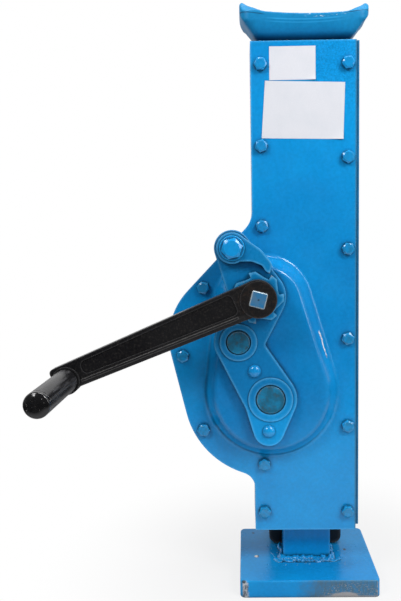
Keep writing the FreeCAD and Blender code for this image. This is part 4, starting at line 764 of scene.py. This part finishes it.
def make_simple_metal(name, light, dark, metallic, rough, scale):
    """Cast or turned metal with a grainy skin."""
    w, shader, place = new_material(name)
    grain = w.noise(place, scale, 5.0, 0.65)
    dirt_and_shade = w.shared("Settled Grime", Place=place, Amount=0.6)["Grime"]
    colour = w.mix(w.span(grain, 0.3, 0.7), dark, light)
    # Darker in corners and along contact lines: grime, partly painted shade.
    w.feed(shader.inputs["Base Color"], w.mix(dirt_and_shade, colour, (0.015, 0.014, 0.012, 1)))
    w.feed(shader.inputs["Roughness"], w.span(grain, 0.3, 0.7, rough, rough + 0.15))
    shader.inputs["Metallic"].default_value = metallic
    w.feed(shader.inputs["Normal"], w.bump(grain, 0.00015, 0.4))


NODE_FINISHES = {
    "blue_enamel": ("rear_plate", "bracket_pillar", "rear_bearing_plate"),
    "bracket_enamel": (
        "bearing_bracket", "layshaft_front_bush", "pinion_front_bush", "ratchet_wheel", "pawl"),
    "wall_enamel": ("wall_right", "wall_bottom", "wall_left"),
    "dull_enamel": ("wall_top",),
    "fastener_enamel": (
        "cover_bolts", "bracket_rivets", "crank_front_bush", "rear_rivets", "pawl_washer", "pawl_bolt"),
    "weld_enamel": ("rack_weld",),
    "cover_enamel": ("front_cover",),
    "foot_enamel": ("base_plate",),
    "saddle_enamel": ("saddle_head",),
    "rack_finish": ("rack_bar",),
    "crank_black": ("crank_arm",),
    "pin_black": ("grip_pin",),
    "claw_black": ("lifting_claw", "claw_bolts"),
    "shaft_end_steel": ("layshaft", "pinion_shaft"),
    "crank_steel": ("crank_shaft",),
    "gear_steel": ("layshaft_gear", "main_gear", "bolt_pillars"),
    "guide_iron": ("lower_guide", "pinion_guide"),
    "bush_bronze": ("crank_rear_bush", "layshaft_rear_bush", "pinion_rear_bush"),
    "grip_tube": ("grip_sleeve",),
}


class JACK_OT_finishes(bpy.types.Operator):
    """Make the paints and metals, and give them to the jack's parts"""

    bl_idname = "jack.finishes"
    bl_label = "Paint and Metal"

    def execute(self, context):
        finish = context.scene.jack_finish
        blue, deep, black = tuple(finish.blue), tuple(finish.deep_blue), tuple(finish.black)
        wear = finish.edge_wear
        for make in (make_edge_wear_and_highlight, make_grime_and_shade, make_orange_peel, make_scuffs):
            make()
        enamel("blue_enamel", blue, deep, wear)
        # Bracket: a lighter rub that paints a highlight along its edges.
        enamel("bracket_enamel", blue, deep, wear, rub=(0.10, 0.24, 0.28, 1), tint=bracket_tint)
        enamel("cover_enamel", blue, deep, wear * 0.6, 0.003, gloss=0.18, sheen=0.5, tint=cover_tint)
        enamel("foot_enamel", blue, deep, wear * 0.5, 0.0025, marks=foot_marks, tint=foot_tint)
        enamel("saddle_enamel", blue, deep, wear, 0.003, 0.3, gloss=0.42, sheen=0.15, tint=saddle_tint)
        enamel("wall_enamel", blue, deep, wear * 0.7, 0.003, tint=wall_tint)
        enamel("dull_enamel", blue, deep, wear * 0.7, 0.003, gloss=0.60, sheen=0.05, tint=wall_tint)
        enamel("rack_finish", blue, deep, wear, tint=rack_tint)
        # Fasteners: the light blue rub paints highlights on their rims, and the strong grime paints shade in
        # their crevices.
        enamel("fastener_enamel", blue, deep, 0.0, 0.0014, 0.0, grime=0.85, gloss=0.20, sheen=0.6,
               rub=(0.03, 0.34, 0.60, 1), tint=fastener_tint)
        # Weld: the pale rub paints highlights on its lumps, and the strong grime paints shade between them.
        enamel("weld_enamel", blue, deep, 0.0, 0.001, 0.0, grime=0.9, gloss=0.20, sheen=0.5,
               rub=(0.12, 0.22, 0.22, 1))
        enamel("pin_black", black, (0.006, 0.006, 0.0065, 1), 0.3, 0.002, 0.1, grime=0.3, gloss=0.17,
               sheen=0.6, rub=BLACK_RUB_AND_HIGHLIGHT, marks=pin_nicks_and_glints)
        enamel("crank_black", black, (0.006, 0.006, 0.007, 1), 0.2, 0.002, 0.1, grime=0.4, gloss=0.32,
               rub=BLACK_RUB_AND_HIGHLIGHT, peel=0.0002, tint=arm_tint)
        enamel("claw_black", black, (0.009, 0.009, 0.010, 1), 0.4, 0.005, 0.25, grime=0.3, gloss=0.42,
               sheen=0.3, rub=BLACK_RUB_AND_HIGHLIGHT)
        make_shaft_end()
        make_crank_end()
        make_steel("gear_steel", (0.32, 0.32, 0.31, 1), (0.20, 0.20, 0.19, 1), 0.36, (260.0, 50.0, 260.0))
        make_simple_metal("guide_iron", (0.10, 0.10, 0.105, 1), (0.05, 0.05, 0.052, 1), 0.6, 0.55, 420.0)
        make_simple_metal("bush_bronze", (0.55, 0.38, 0.16, 1), (0.40, 0.26, 0.11, 1), 0.95, 0.34, 500.0)
        make_grip()
        make_paper()
        for material, nodes in NODE_FINISHES.items():
            for node in nodes:
                slots = NODES[node].data.materials
                slots.clear()
                slots.append(bpy.data.materials[material])
        return {"FINISHED"}


# Pieces


def ease(body, table):
    """Rounds the edges of a body's plates and bars: name, CAD form, width, segments, material and slot."""
    for name, node, width, segments, material, slot in table:
        finish_piece(eased_copy(name, node, width, segments), material, body, slot, node)


class JACK_OT_housing(bpy.types.Operator):
    """Ease the edges of the housing's plates, bracket, claw and pawl, crown its bolts and shape its saddle"""

    bl_idname = "jack.housing"
    bl_label = "Housing Plates"

    def crown(self, reach, face, front, back):
        """A round bar on the y axis whose front narrows to a flat face at 30 degrees."""
        drop = (reach - face) * math.tan(math.radians(30))
        bpy.ops.object.select_all(action="DESELECT")
        bpy.ops.mesh.primitive_cylinder_add(
            vertices=72, radius=reach, depth=back - front - drop,
            location=(0, (back + front + drop) / 2, 0), rotation=(math.pi / 2, 0, 0))
        crown = bpy.context.active_object
        place_in_mesh(crown)
        select_where(crown, lambda side: side.normal.y < -0.9)
        bpy.ops.mesh.extrude_region_move(TRANSFORM_OT_translate={"value": (0, -drop, 0)})
        bpy.ops.transform.resize(value=(face / reach, 1, face / reach), center_override=(0, front, 0))
        bpy.ops.object.mode_set(mode="OBJECT")
        return crown

    def bolts(self, name, node, forms):
        """Hexagon bolts whose heads are chamfered all around."""
        low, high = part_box(node)
        plain_copy(name, node)
        bpy.ops.object.mode_set(mode="EDIT")
        bpy.ops.mesh.separate(type="LOOSE")
        bpy.ops.object.mode_set(mode="OBJECT")
        singles = list(bpy.context.selected_objects)
        middles = [sum((Vector(corner) for corner in single.bound_box), Vector()) / 8 for single in singles]
        reach = max((point.co - middles[0]).xz.length for point in singles[0].data.vertices)
        crown = self.crown(reach * 1.01, reach * forms.bolt_face, low.y, high.y + 0.001)
        for single, middle in zip(singles, middles):
            crown.location = (middle.x, 0, middle.z)
            apply_modifier(single, "BOOLEAN", operation="INTERSECT", object=crown, solver="EXACT")
        bpy.data.objects.remove(crown)
        only(singles[0])
        for single in singles:
            single.select_set(True)
        bpy.ops.object.join()
        bolts = bpy.context.active_object
        bolts.name = name
        ease_edges(bolts, forms.bolt_edge, 2, 20)
        finish_piece(bolts, "fastener_enamel", "housing", "blue_paint", node)

    def saddle(self, forms):
        """The forged saddle: a hull with a soft underside, lifted horn tips and a raised lip between them."""
        saddle = plain_copy("horned_saddle", "saddle_head")
        low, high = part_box("saddle_head")
        middle = (low + high) / 2
        rim = low.z + 0.027
        saddle.data.remesh_voxel_size = 0.0013
        bpy.ops.object.voxel_remesh()
        for point in saddle.data.vertices:
            x, y, z = point.co
            outward = abs(x) / high.x
            share = max(0.0, z - rim) / (high.z - rim)
            lift = (forms.left_horn if x < 0 else forms.right_horn) * (max(0.0, outward - 0.6) / 0.4)
            drop = forms.horn_drop * max(0.0, outward - 0.78) / 0.22
            edge = min(1.0, max(0.0, abs(y - middle.y) / (high.y - middle.y) - 0.35) / 0.5)
            top = min(1.0, max(0.0, z - low.z - 0.012) / 0.017)
            lip = forms.seat_lip * max(0.0, 1 - ((x + 0.012) / 0.066) ** 2)
            point.co.z += share * (lift - edge * drop) + edge * top * lip
        select_where(saddle, lambda point: point.co.z < rim, "vertices")
        bpy.ops.mesh.vertices_smooth(factor=0.5, repeat=forms.hull_rounds)
        bpy.ops.mesh.select_all(action="SELECT")
        bpy.ops.mesh.vertices_smooth(factor=0.5, repeat=5)
        bpy.ops.object.mode_set(mode="OBJECT")
        apply_modifier(saddle, "DECIMATE", ratio=0.45)
        bpy.ops.object.shade_smooth()
        finish_piece(saddle, "saddle_enamel", "housing", "blue_paint", "saddle_head")

    def execute(self, context):
        forms = context.scene.jack_forms
        sheet, plate, forged = forms.sheet_edge, forms.plate_edge, forms.forged_edge
        ease("housing", (
            ("pressed_cover", "front_cover", sheet, 2, "cover_enamel", "blue_paint"),
            ("right_wall", "wall_right", sheet, 2, "wall_enamel", "blue_paint"),
            ("left_wall", "wall_left", sheet, 2, "wall_enamel", "blue_paint"),
            ("top_wall", "wall_top", sheet, 2, "dull_enamel", "blue_paint"),
            ("back_sheet", "rear_plate", sheet, 2, "blue_enamel", "blue_paint"),
            ("back_strap", "rear_bearing_plate", plate, 2, "blue_enamel", "blue_paint"),
            ("riveted_bracket", "bearing_bracket", plate, 2, "bracket_enamel", "blue_paint"),
            ("low_claw", "lifting_claw", forged, 3, "claw_black", "black_paint"),
            ("pawl_pivot_washer", "pawl_washer", sheet, 2, "fastener_enamel", "blue_paint")))
        self.bolts("cover_bolt_heads", "cover_bolts", forms)
        self.bolts("pawl_pivot_bolt", "pawl_bolt", forms)
        self.saddle(forms)
        ease("pawl", (("ratchet_pawl", "pawl", plate, 2, "bracket_enamel", "blue_paint"),))
        return {"FINISHED"}


class JACK_OT_bearings(bpy.types.Operator):
    """Turn the bush flanges, the shafts' end faces and the rivet heads on the bracket"""

    bl_idname = "jack.bearings"
    bl_label = "Bearings and Rivets"

    def blank(self, name, centre, radius, front, depth):
        """A round blank that faces the front."""
        bpy.ops.object.select_all(action="DESELECT")
        bpy.ops.mesh.primitive_cylinder_add(
            vertices=80, radius=radius, depth=depth, location=(centre.x, front + depth / 2, centre.z),
            rotation=(math.pi / 2, 0, 0))
        piece = bpy.context.active_object
        piece.name = name
        place_in_mesh(piece)
        select_where(piece, lambda face: face.normal.y < -0.9)
        return piece

    def soften(self, piece, width):
        """Rounds a turned piece's edges."""
        bpy.ops.object.mode_set(mode="OBJECT")
        apply_modifier(piece, "BEVEL", width=width, segments=3, limit_method="ANGLE",
                       angle_limit=math.radians(30))
        bpy.ops.object.shade_smooth_by_angle(angle=math.radians(35))

    def flange(self, shaft, wider):
        """The bush's flange with a groove around the shaft."""
        low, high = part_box(f"{shaft}_front_bush")
        centre, outer = (low + high) / 2, (high.x - low.x) / 2 + wider
        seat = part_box("bearing_bracket")[0].y
        sunk, gap, step = 0.0050, 0.0016, 0.0007
        ring = self.blank(f"{shaft}_bush_flange", centre, outer, low.y, seat - low.y + sunk)
        bpy.ops.mesh.inset(thickness=outer - END_RADII[shaft] - gap)
        bpy.ops.mesh.inset(thickness=step, depth=-step)
        bpy.ops.mesh.extrude_region_move(TRANSFORM_OT_translate={"value": (0, sunk, 0)})
        self.soften(ring, 0.00045)
        finish_piece(ring, "bracket_enamel", "housing", "blue_paint", f"{shaft}_front_bush")

    def end_face(self, shaft, node):
        """The shaft's end: a chamfered face with a turned ring and a centre mark."""
        low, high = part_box(f"{shaft}_front_bush")
        radius = END_RADII[shaft]
        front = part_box(node)[0].y - 0.0002
        face = self.blank(f"{shaft}_end_face", (low + high) / 2, radius, front, 0.0050)
        bpy.ops.mesh.inset(thickness=0.0012)
        bpy.ops.mesh.inset(thickness=0.0005, depth=-0.0003)
        bpy.ops.mesh.inset(thickness=radius - 0.0029)
        bpy.ops.mesh.inset(thickness=0.0009, depth=-0.0008)
        self.soften(face, 0.0004)
        finish_piece(face, "shaft_end_steel", shaft, "machined_steel")

    def rivets(self):
        """Round heads of the bracket's two rivets."""
        low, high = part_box("bracket_rivets")
        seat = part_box("bearing_bracket")[0].y
        radius, rise, inset = 0.0079, 0.0056, 0.0076
        heads = []
        for x, z in ((low.x + inset, high.z - inset), (high.x - inset, low.z + inset)):
            bpy.ops.object.select_all(action="DESELECT")
            bpy.ops.mesh.primitive_uv_sphere_add(
                segments=40, ring_count=24, radius=1, location=(x, seat + 0.0004, z),
                rotation=(math.pi / 2, 0, 0))
            head = bpy.context.active_object
            head.scale = (radius, radius, rise)
            place_in_mesh(head)
            bpy.ops.object.mode_set(mode="EDIT")
            bpy.ops.mesh.select_all(action="SELECT")
            bpy.ops.mesh.bisect(
                plane_co=(0, seat + 0.0003, 0), plane_no=(0, -1, 0), clear_inner=True, use_fill=True)
            bpy.ops.object.mode_set(mode="OBJECT")
            bpy.ops.object.shade_smooth_by_angle(angle=math.radians(50))
            heads.append(head)
        only(heads[0])
        heads[1].select_set(True)
        bpy.ops.object.join()
        heads[0].name = "bracket_rivet_heads"
        finish_piece(heads[0], "fastener_enamel", "housing", "blue_paint", "bracket_rivets")

    def execute(self, context):
        self.flange("layshaft", 0.0008)
        self.flange("pinion", 0.0014)
        self.end_face("layshaft", "layshaft")
        self.end_face("pinion", "pinion_shaft")
        self.rivets()
        return {"FINISHED"}


class JACK_OT_foot(bpy.types.Operator):
    """Ease the edges of the foot plate and the rack"""

    bl_idname = "jack.foot"
    bl_label = "Foot Plate"

    def execute(self, context):
        forms = context.scene.jack_forms
        ease("base", (
            ("scraped_foot", "base_plate", forms.plate_edge, 2, "foot_enamel", "blue_paint"),
            ("toothed_rack", "rack_bar", forms.sheet_edge, 2, "rack_finish", "machined_steel")))
        return {"FINISHED"}


class JACK_OT_crank(bpy.types.Operator):
    """Sink the crank arm's web, lay its rib and ease its edges and the ratchet wheel's"""

    bl_idname = "jack.crank"
    bl_label = "Crank"

    def along(self, block):
        """Turns a block drawn along the arm, from the crank axis, into its place."""
        shaft_low, shaft_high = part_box("crank_front_bush")
        axis = (shaft_low + shaft_high) / 2
        block.rotation_euler = (0, math.radians(ARM_TURN), 0)
        block.location = (axis.x, 0, axis.z)
        place_in_mesh(block)

    def block(self, name, corners, back, front):
        """A bar with four corners given along and across the arm."""
        bpy.ops.object.select_all(action="DESELECT")
        bpy.ops.mesh.primitive_cube_add(size=1)
        bar = bpy.context.active_object
        bar.name = name
        for point in bar.data.vertices:
            end, side = point.co.x > 0, point.co.z > 0
            along, across = corners[end * 2 + side]
            point.co = (along, back if point.co.y > 0 else front, across)
        return bar

    def front(self):
        """The y of the arm's front face."""
        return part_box("crank_shaft")[0].y + 0.0022

    def rib(self, height):
        """The low rib along the arm's lower edge."""
        corners = [(along, ARM_HALF - ARM_TAPER * along - inward)
                   for along in (0.029, 0.227) for inward in RIB_SIDES]
        rib = self.block("arm_rib", corners, self.front() + 0.002, self.front() - height)
        self.along(rib)
        ease_edges(rib, height * 0.8, 3)
        finish_piece(rib, "crank_black", "crank", "black_paint")

    def sink_web(self, arm):
        """Sinks the middle of the arm's front face."""
        face = self.front()
        corners = ((0.0272, -0.0185), (0.0272, 0.0062), (0.2205, -0.0136), (0.2205, 0.0014))
        cutter = self.block("web_cutter", corners, face + 0.0011, face - 0.004)

        def crosswise(edge):
            first, second = (cutter.data.vertices[index].co.y for index in edge.vertices)
            return abs(first - second) > 0.001

        select_where(cutter, crosswise, "edges")
        bpy.ops.mesh.bevel(offset=0.006, segments=5)
        bpy.ops.object.mode_set(mode="OBJECT")
        self.along(cutter)
        apply_modifier(arm, "BOOLEAN", operation="DIFFERENCE", object=cutter, solver="EXACT")
        bpy.data.objects.remove(cutter)
        only(arm)

    def execute(self, context):
        forms = context.scene.jack_forms
        arm = eased_copy("forged_arm", "crank_arm", forms.arm_edge, 3, shape=self.sink_web)
        finish_piece(arm, "crank_black", "crank", "black_paint", "crank_arm")
        self.rib(forms.arm_rib)
        ease("crank", (
            ("ratchet_disc", "ratchet_wheel", forms.sheet_edge, 2, "bracket_enamel", "blue_paint"),))
        return {"FINISHED"}


class JACK_OT_weld(bpy.types.Operator):
    """Lay a rippled weld around the rack's foot, with spatter on the foot plate"""

    bl_idname = "jack.weld"
    bl_label = "Weld"

    def lump(self, segments, rings):
        """One round lump, leaning to its side and flattened below."""
        bpy.ops.object.select_all(action="DESELECT")
        bpy.ops.mesh.primitive_uv_sphere_add(segments=segments, ring_count=rings, radius=1)
        lump = bpy.context.active_object
        select_where(lump, lambda point: point.co.z > 0.35, "vertices")
        bpy.ops.transform.translate(value=(0.2, 0, 0))
        bpy.ops.object.mode_set(mode="OBJECT")
        select_where(lump, lambda point: point.co.z < -0.1, "vertices")
        bpy.ops.transform.resize(value=(1.2, 1.2, 0.4))
        bpy.ops.object.mode_set(mode="OBJECT")
        return lump

    def spread(self, name, lump, places):
        """Copies of a lump at given places, sizes and turns, joined into one piece."""
        copies = []
        for place, size, turn in places:
            part = lump.copy()
            part.data = lump.data.copy()
            bpy.context.scene.collection.objects.link(part)
            part.matrix_world = (Matrix.Translation(place) @ Matrix.Rotation(turn, 4, "Z")
                                 @ Matrix.Diagonal((*size, 1)))
            copies.append(part)
        bpy.data.objects.remove(lump)
        only(copies[0])
        for part in copies:
            part.select_set(True)
        bpy.ops.object.join()
        piece = bpy.context.active_object
        piece.name = name
        place_in_mesh(piece)
        return piece

    def between(self, chance, *limits):
        """One draw between each pair of limits."""
        return tuple(chance.uniform(*pair) for pair in limits)

    def bead_places(self, chance, ripple):
        """Ripples along all four sides, a low pool in front and rough lumps on its middle."""
        low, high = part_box("rack_weld")
        rack_low, rack_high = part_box("rack_bar")
        floor = low.z + 0.0003
        side_lumps, pool_lumps, rough_lumps = 9, 26, 70
        lump = (0.003, 0.006)
        places = []
        for edge, reach in ((rack_low.y, low.y - rack_low.y), (rack_high.y, high.y - rack_high.y)):
            x = low.x
            while x < high.x:
                wide = ripple * chance.uniform(0.6, 1.1)
                deep, tall = self.between(chance, (0.55, 0.95), (0.30, 0.62))
                size = (wide, abs(reach) * deep, abs(reach) * tall)
                places.append(((x, edge + 0.1 * reach, floor), size, chance.uniform(-0.3, 0.3)))
                x += wide * chance.uniform(0.8, 1.2)
        for edge, side in ((rack_low.x, -1), (rack_high.x, 1)):
            for i in range(side_lumps):
                y = rack_low.y + (rack_high.y - rack_low.y) * i / (side_lumps - 1)
                size = self.between(chance, lump, lump, lump)
                places.append(((edge + side * 0.001, y, floor), size, chance.uniform(0, 3)))
        for _ in range(pool_lumps):
            x, y = self.between(chance, (-0.043, 0.043), (-0.0235, -0.0155))
            size = self.between(chance, (0.003, 0.007), (0.002, 0.0035), (0.0007, 0.0018))
            places.append(((x, y, floor), size, chance.uniform(-0.6, 0.6)))
        for _ in range(rough_lumps):
            x, y = self.between(chance, (-0.015, 0.022), (-0.0255, -0.0165))
            size = self.between(chance, (0.0008, 0.0020), (0.0007, 0.0015), (0.0012, 0.0030))
            places.append(((x, y, floor + 0.0004), size, chance.uniform(0, 3)))
        return places

    def execute(self, context):
        weld = context.scene.jack_weld
        chance = random.Random(weld.seed)
        low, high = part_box("rack_weld")
        bead = self.spread("rack_weld_bead", self.lump(20, 12), self.bead_places(chance, weld.ripple))
        bead.data.remesh_voxel_size = 0.00055
        only(bead)
        bpy.ops.object.voxel_remesh()
        bpy.ops.object.mode_set(mode="EDIT")
        bpy.ops.mesh.select_all(action="SELECT")
        bpy.ops.mesh.vertices_smooth(factor=0.5, repeat=1)
        bpy.ops.mesh.bisect(
            plane_co=(0, 0, low.z + 0.00005), plane_no=(0, 0, 1), clear_inner=True, use_fill=True)
        bpy.ops.object.mode_set(mode="OBJECT")
        bpy.ops.object.shade_smooth()
        finish_piece(bead, "weld_enamel", "base", "blue_paint", "rack_weld")
        drops, clear = [], 0.002
        while len(drops) < weld.spatter:
            x, y = self.between(chance, (low.x - 0.018, high.x + 0.020), (low.y - 0.010, high.y + 0.010))
            if low.x - clear < x < high.x + clear and low.y - clear < y < high.y + clear:
                continue
            size = chance.uniform(0.0004, 0.0012)
            drops.append(((x, y, low.z + 0.1 * size), (size * chance.uniform(1.0, 1.6), size, size * 0.8),
                          chance.uniform(0, 3)))
        spatter = self.spread("weld_spatter", self.lump(10, 8), drops)
        bpy.ops.object.shade_smooth()
        finish_piece(spatter, "weld_enamel", "base", "blue_paint")
        return {"FINISHED"}


# Corners on the cover's face in millimetres: low left, low right, high right and high left.
LABELS = {
    "upper_label": ((-44.0, 639.0), (11.8, 639.0), (11.8, 678.6), (-44.0, 678.6)),
    "lower_label": ((-54.0, 570.0), (45.4, 567.6), (47.5, 635.3), (-49.4, 638.4)),
}


class JACK_OT_labels(bpy.types.Operator):
    """Stick two blank paper labels on the front cover"""

    bl_idname = "jack.labels"
    bl_label = "Blank Labels"

    def execute(self, context):
        labels = context.scene.jack_labels
        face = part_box("wall_right")[0].y - 0.004
        for name, corners in LABELS.items():
            bpy.ops.object.select_all(action="DESELECT")
            bpy.ops.mesh.primitive_plane_add(size=2)
            sheet = context.active_object
            sheet.name = name
            bpy.ops.object.mode_set(mode="EDIT")
            bpy.ops.mesh.subdivide(number_cuts=23)
            bpy.ops.object.mode_set(mode="OBJECT")
            low_left, low_right, high_right, high_left = (Vector(c) / 1000 for c in corners)
            for point in sheet.data.vertices:
                u, v = (point.co.x + 1) / 2, (point.co.y + 1) / 2
                at = low_left.lerp(low_right, u).lerp(high_left.lerp(high_right, u), v)
                loose_low = max(0.0, (u + (1 - v)) - 1.72)
                loose_high = max(0.0, ((1 - u) + v) - 1.80)
                curl = 9 * loose_low ** 2 + 5 * loose_high ** 2
                point.co = (at.x, face - 0.00006 - labels.lift * curl, at.y)
            only(sheet)
            apply_modifier(sheet, "SOLIDIFY", thickness=labels.thickness, offset=1.0)
            bpy.ops.object.mode_set(mode="EDIT")
            bpy.ops.mesh.select_all(action="SELECT")
            bpy.ops.mesh.normals_make_consistent(inside=False)
            bpy.ops.object.mode_set(mode="OBJECT")
            bpy.ops.object.shade_smooth_by_angle(angle=math.radians(40))
            finish_piece(sheet, "label_paper", "housing", "blue_paint")
        return {"FINISHED"}


# Studio


def aim(place, target):
    """A turn that looks from one place to another."""
    return (Vector(target) - Vector(place)).to_track_quat("-Z", "Y")


class JACK_OT_stage(bpy.types.Operator):
    """Set up the pale floor, soft lamps, white surroundings and the camera"""

    bl_idname = "jack.stage"
    bl_label = "Studio"

    def floor(self, studio):
        """A round floor, white to the camera and in reflections, with a soft shadow under the jack."""
        bpy.ops.object.select_all(action="DESELECT")
        bpy.ops.mesh.primitive_circle_add(vertices=96, radius=4.0, fill_type="NGON", location=(0, 0, -0.0002))
        floor = bpy.context.active_object
        floor.name = "floor"
        place_in_mesh(floor)
        w, shader, place = new_material("pale_floor")
        shader.inputs["Base Color"].default_value = tuple(studio.floor)
        shader.inputs["Roughness"].default_value = 0.7
        shader.inputs["Specular IOR Level"].default_value = 0.1
        white = w.add("ShaderNodeEmission")
        rays = w.add("ShaderNodeLightPath").outputs
        w.feed(white.inputs["Strength"], w.math("SUBTRACT", 1.0, rays["Is Glossy Ray"]))
        away = w.vector("LENGTH", place)
        seen = w.most(rays["Is Camera Ray"], rays["Is Transmission Ray"])
        seen = w.times(seen, w.span(away, 0.12, 0.38, 0.80, 1.0))
        shiny = w.times(rays["Is Glossy Ray"], w.span(away, 0.40, 0.95))
        both = w.add("ShaderNodeMixShader")
        w.feed(both.inputs[0], w.most(seen, shiny))
        w.feed(both.inputs[1], shader.outputs[0])
        w.feed(both.inputs[2], white.outputs[0])
        output = w.tree.nodes["Material Output"]
        w.feed(output.inputs["Surface"], both.outputs[0])
        floor.data.materials.append(bpy.data.materials["pale_floor"])

    def world(self):
        """White surroundings, dim in what the jack's front reflects."""
        world = bpy.data.worlds.new("white_room")
        bpy.context.scene.world = world
        world.use_nodes = True
        w = Wiring(world.node_tree)
        background = world.node_tree.nodes["Background"]
        background.inputs["Color"].default_value = (1, 1, 1, 1)
        rays = w.add("ShaderNodeLightPath").outputs
        seen = w.most(rays["Is Camera Ray"], rays["Is Transmission Ray"])
        toward = w.parts(w.add("ShaderNodeTexCoord").outputs["Generated"])["Y"]
        shiny = w.times(rays["Is Glossy Ray"], w.span(toward, -0.55, 0.45, 0.03, 1.0))
        soft = w.most(seen, w.math("ADD", shiny, w.times(rays["Is Diffuse Ray"], 0.22)))
        w.feed(background.inputs["Strength"], soft)

    def lamp(self, name, place, target, size, power):
        """A soft lamp that faces a target."""
        light = bpy.data.lights.new(name, "AREA")
        light.shape = "RECTANGLE"
        light.size, light.size_y = size
        light.energy = power
        lamp = bpy.data.objects.new(name, light)
        bpy.context.scene.collection.objects.link(lamp)
        lamp.location = place
        lamp.rotation_mode = "QUATERNION"
        lamp.rotation_quaternion = aim(place, target)

    def camera(self):
        """The camera: its turns in radians, and its focal length and picture in pixels."""
        yaw, pitch, roll = -0.01573, -0.08774, -0.01429
        focal, middle_x, middle_y, wide, high = 631.74, 235.0, 289.0, 401, 601
        ahead = Vector((math.sin(yaw), math.cos(yaw), 0))
        right = Vector((math.cos(yaw), -math.sin(yaw), 0))
        up = Vector((0, 0, 1))
        ahead, up = (ahead * math.cos(pitch) + up * math.sin(pitch),
                     up * math.cos(pitch) - ahead * math.sin(pitch))
        right, up = (right * math.cos(roll) + up * math.sin(roll),
                     up * math.cos(roll) - right * math.sin(roll))
        data = bpy.data.cameras.new("photo_camera")
        data.sensor_fit = "HORIZONTAL"
        data.sensor_width = 36
        data.lens = focal * data.sensor_width / wide
        data.shift_x = (wide / 2 - middle_x) / wide
        data.shift_y = (middle_y - high / 2) / wide
        data.clip_end = 50
        camera = bpy.data.objects.new("photo_camera", data)
        bpy.context.scene.collection.objects.link(camera)
        place = Vector((-0.076842, -0.825100, 0.454963))
        turn = Matrix((right, up, -ahead)).transposed()
        camera.matrix_world = Matrix.Translation(place) @ turn.to_4x4()
        bpy.context.scene.camera = camera

    def execute(self, context):
        studio = context.scene.jack_studio
        self.floor(studio)
        self.world()
        middle = (-0.03, 0, 0.40)
        self.lamp("right_lamp", (0.85, -1.02, 1.50), middle, (0.50, 0.60), studio.right)
        self.lamp("right_strip", (1.15, -0.82, 0.80), middle, (0.22, 0.90), studio.strip)
        self.lamp("left_lamp", (-0.95, -1.05, 1.42), middle, (0.50, 0.50), studio.left)
        self.lamp("top_lamp", (0.0, -0.10, 1.80), middle, (0.9, 0.4), studio.top)
        self.camera()
        context.scene.view_settings.view_transform = "Standard"
        return {"FINISHED"}


class JACK_PT_builder(bpy.types.Panel):
    """List the jack's pieces and their settings"""

    bl_label = "Rack and Pinion Jack"
    bl_space_type = "VIEW_3D"
    bl_region_type = "UI"
    bl_category = "Jack"

    def draw(self, context):
        for operator in OPERATORS:
            self.layout.operator(operator.bl_idname)
        for name in GROUPS:
            box = self.layout.box()
            settings = getattr(context.scene, name)
            for setting in settings.bl_rna.properties:
                if setting.identifier not in {"rna_type", "name"}:
                    box.prop(settings, setting.identifier)


GROUPS = {
    "jack_finish": JackFinish, "jack_forms": JackForms, "jack_weld": JackWeld,
    "jack_labels": JackLabels, "jack_studio": JackStudio}
OPERATORS = (
    JACK_OT_finishes, JACK_OT_housing, JACK_OT_bearings, JACK_OT_foot, JACK_OT_crank, JACK_OT_weld,
    JACK_OT_labels, JACK_OT_stage)


def register():
    for cls in (*GROUPS.values(), *OPERATORS, JACK_PT_builder):
        bpy.utils.register_class(cls)
    for name, group in GROUPS.items():
        setattr(bpy.types.Scene, name, PointerProperty(type=group))


def unregister():
    for name in GROUPS:
        delattr(bpy.types.Scene, name)
    for cls in (JACK_PT_builder, *reversed(OPERATORS), *GROUPS.values()):
        bpy.utils.unregister_class(cls)


def main():
    register()
    bpy.ops.jack.finishes()
    bpy.ops.jack.housing()
    bpy.ops.jack.bearings()
    bpy.ops.jack.foot()
    bpy.ops.jack.crank()
    bpy.ops.jack.weld()
    bpy.ops.jack.labels()
    bpy.ops.jack.stage()


if __name__ == "__main__":
    main()
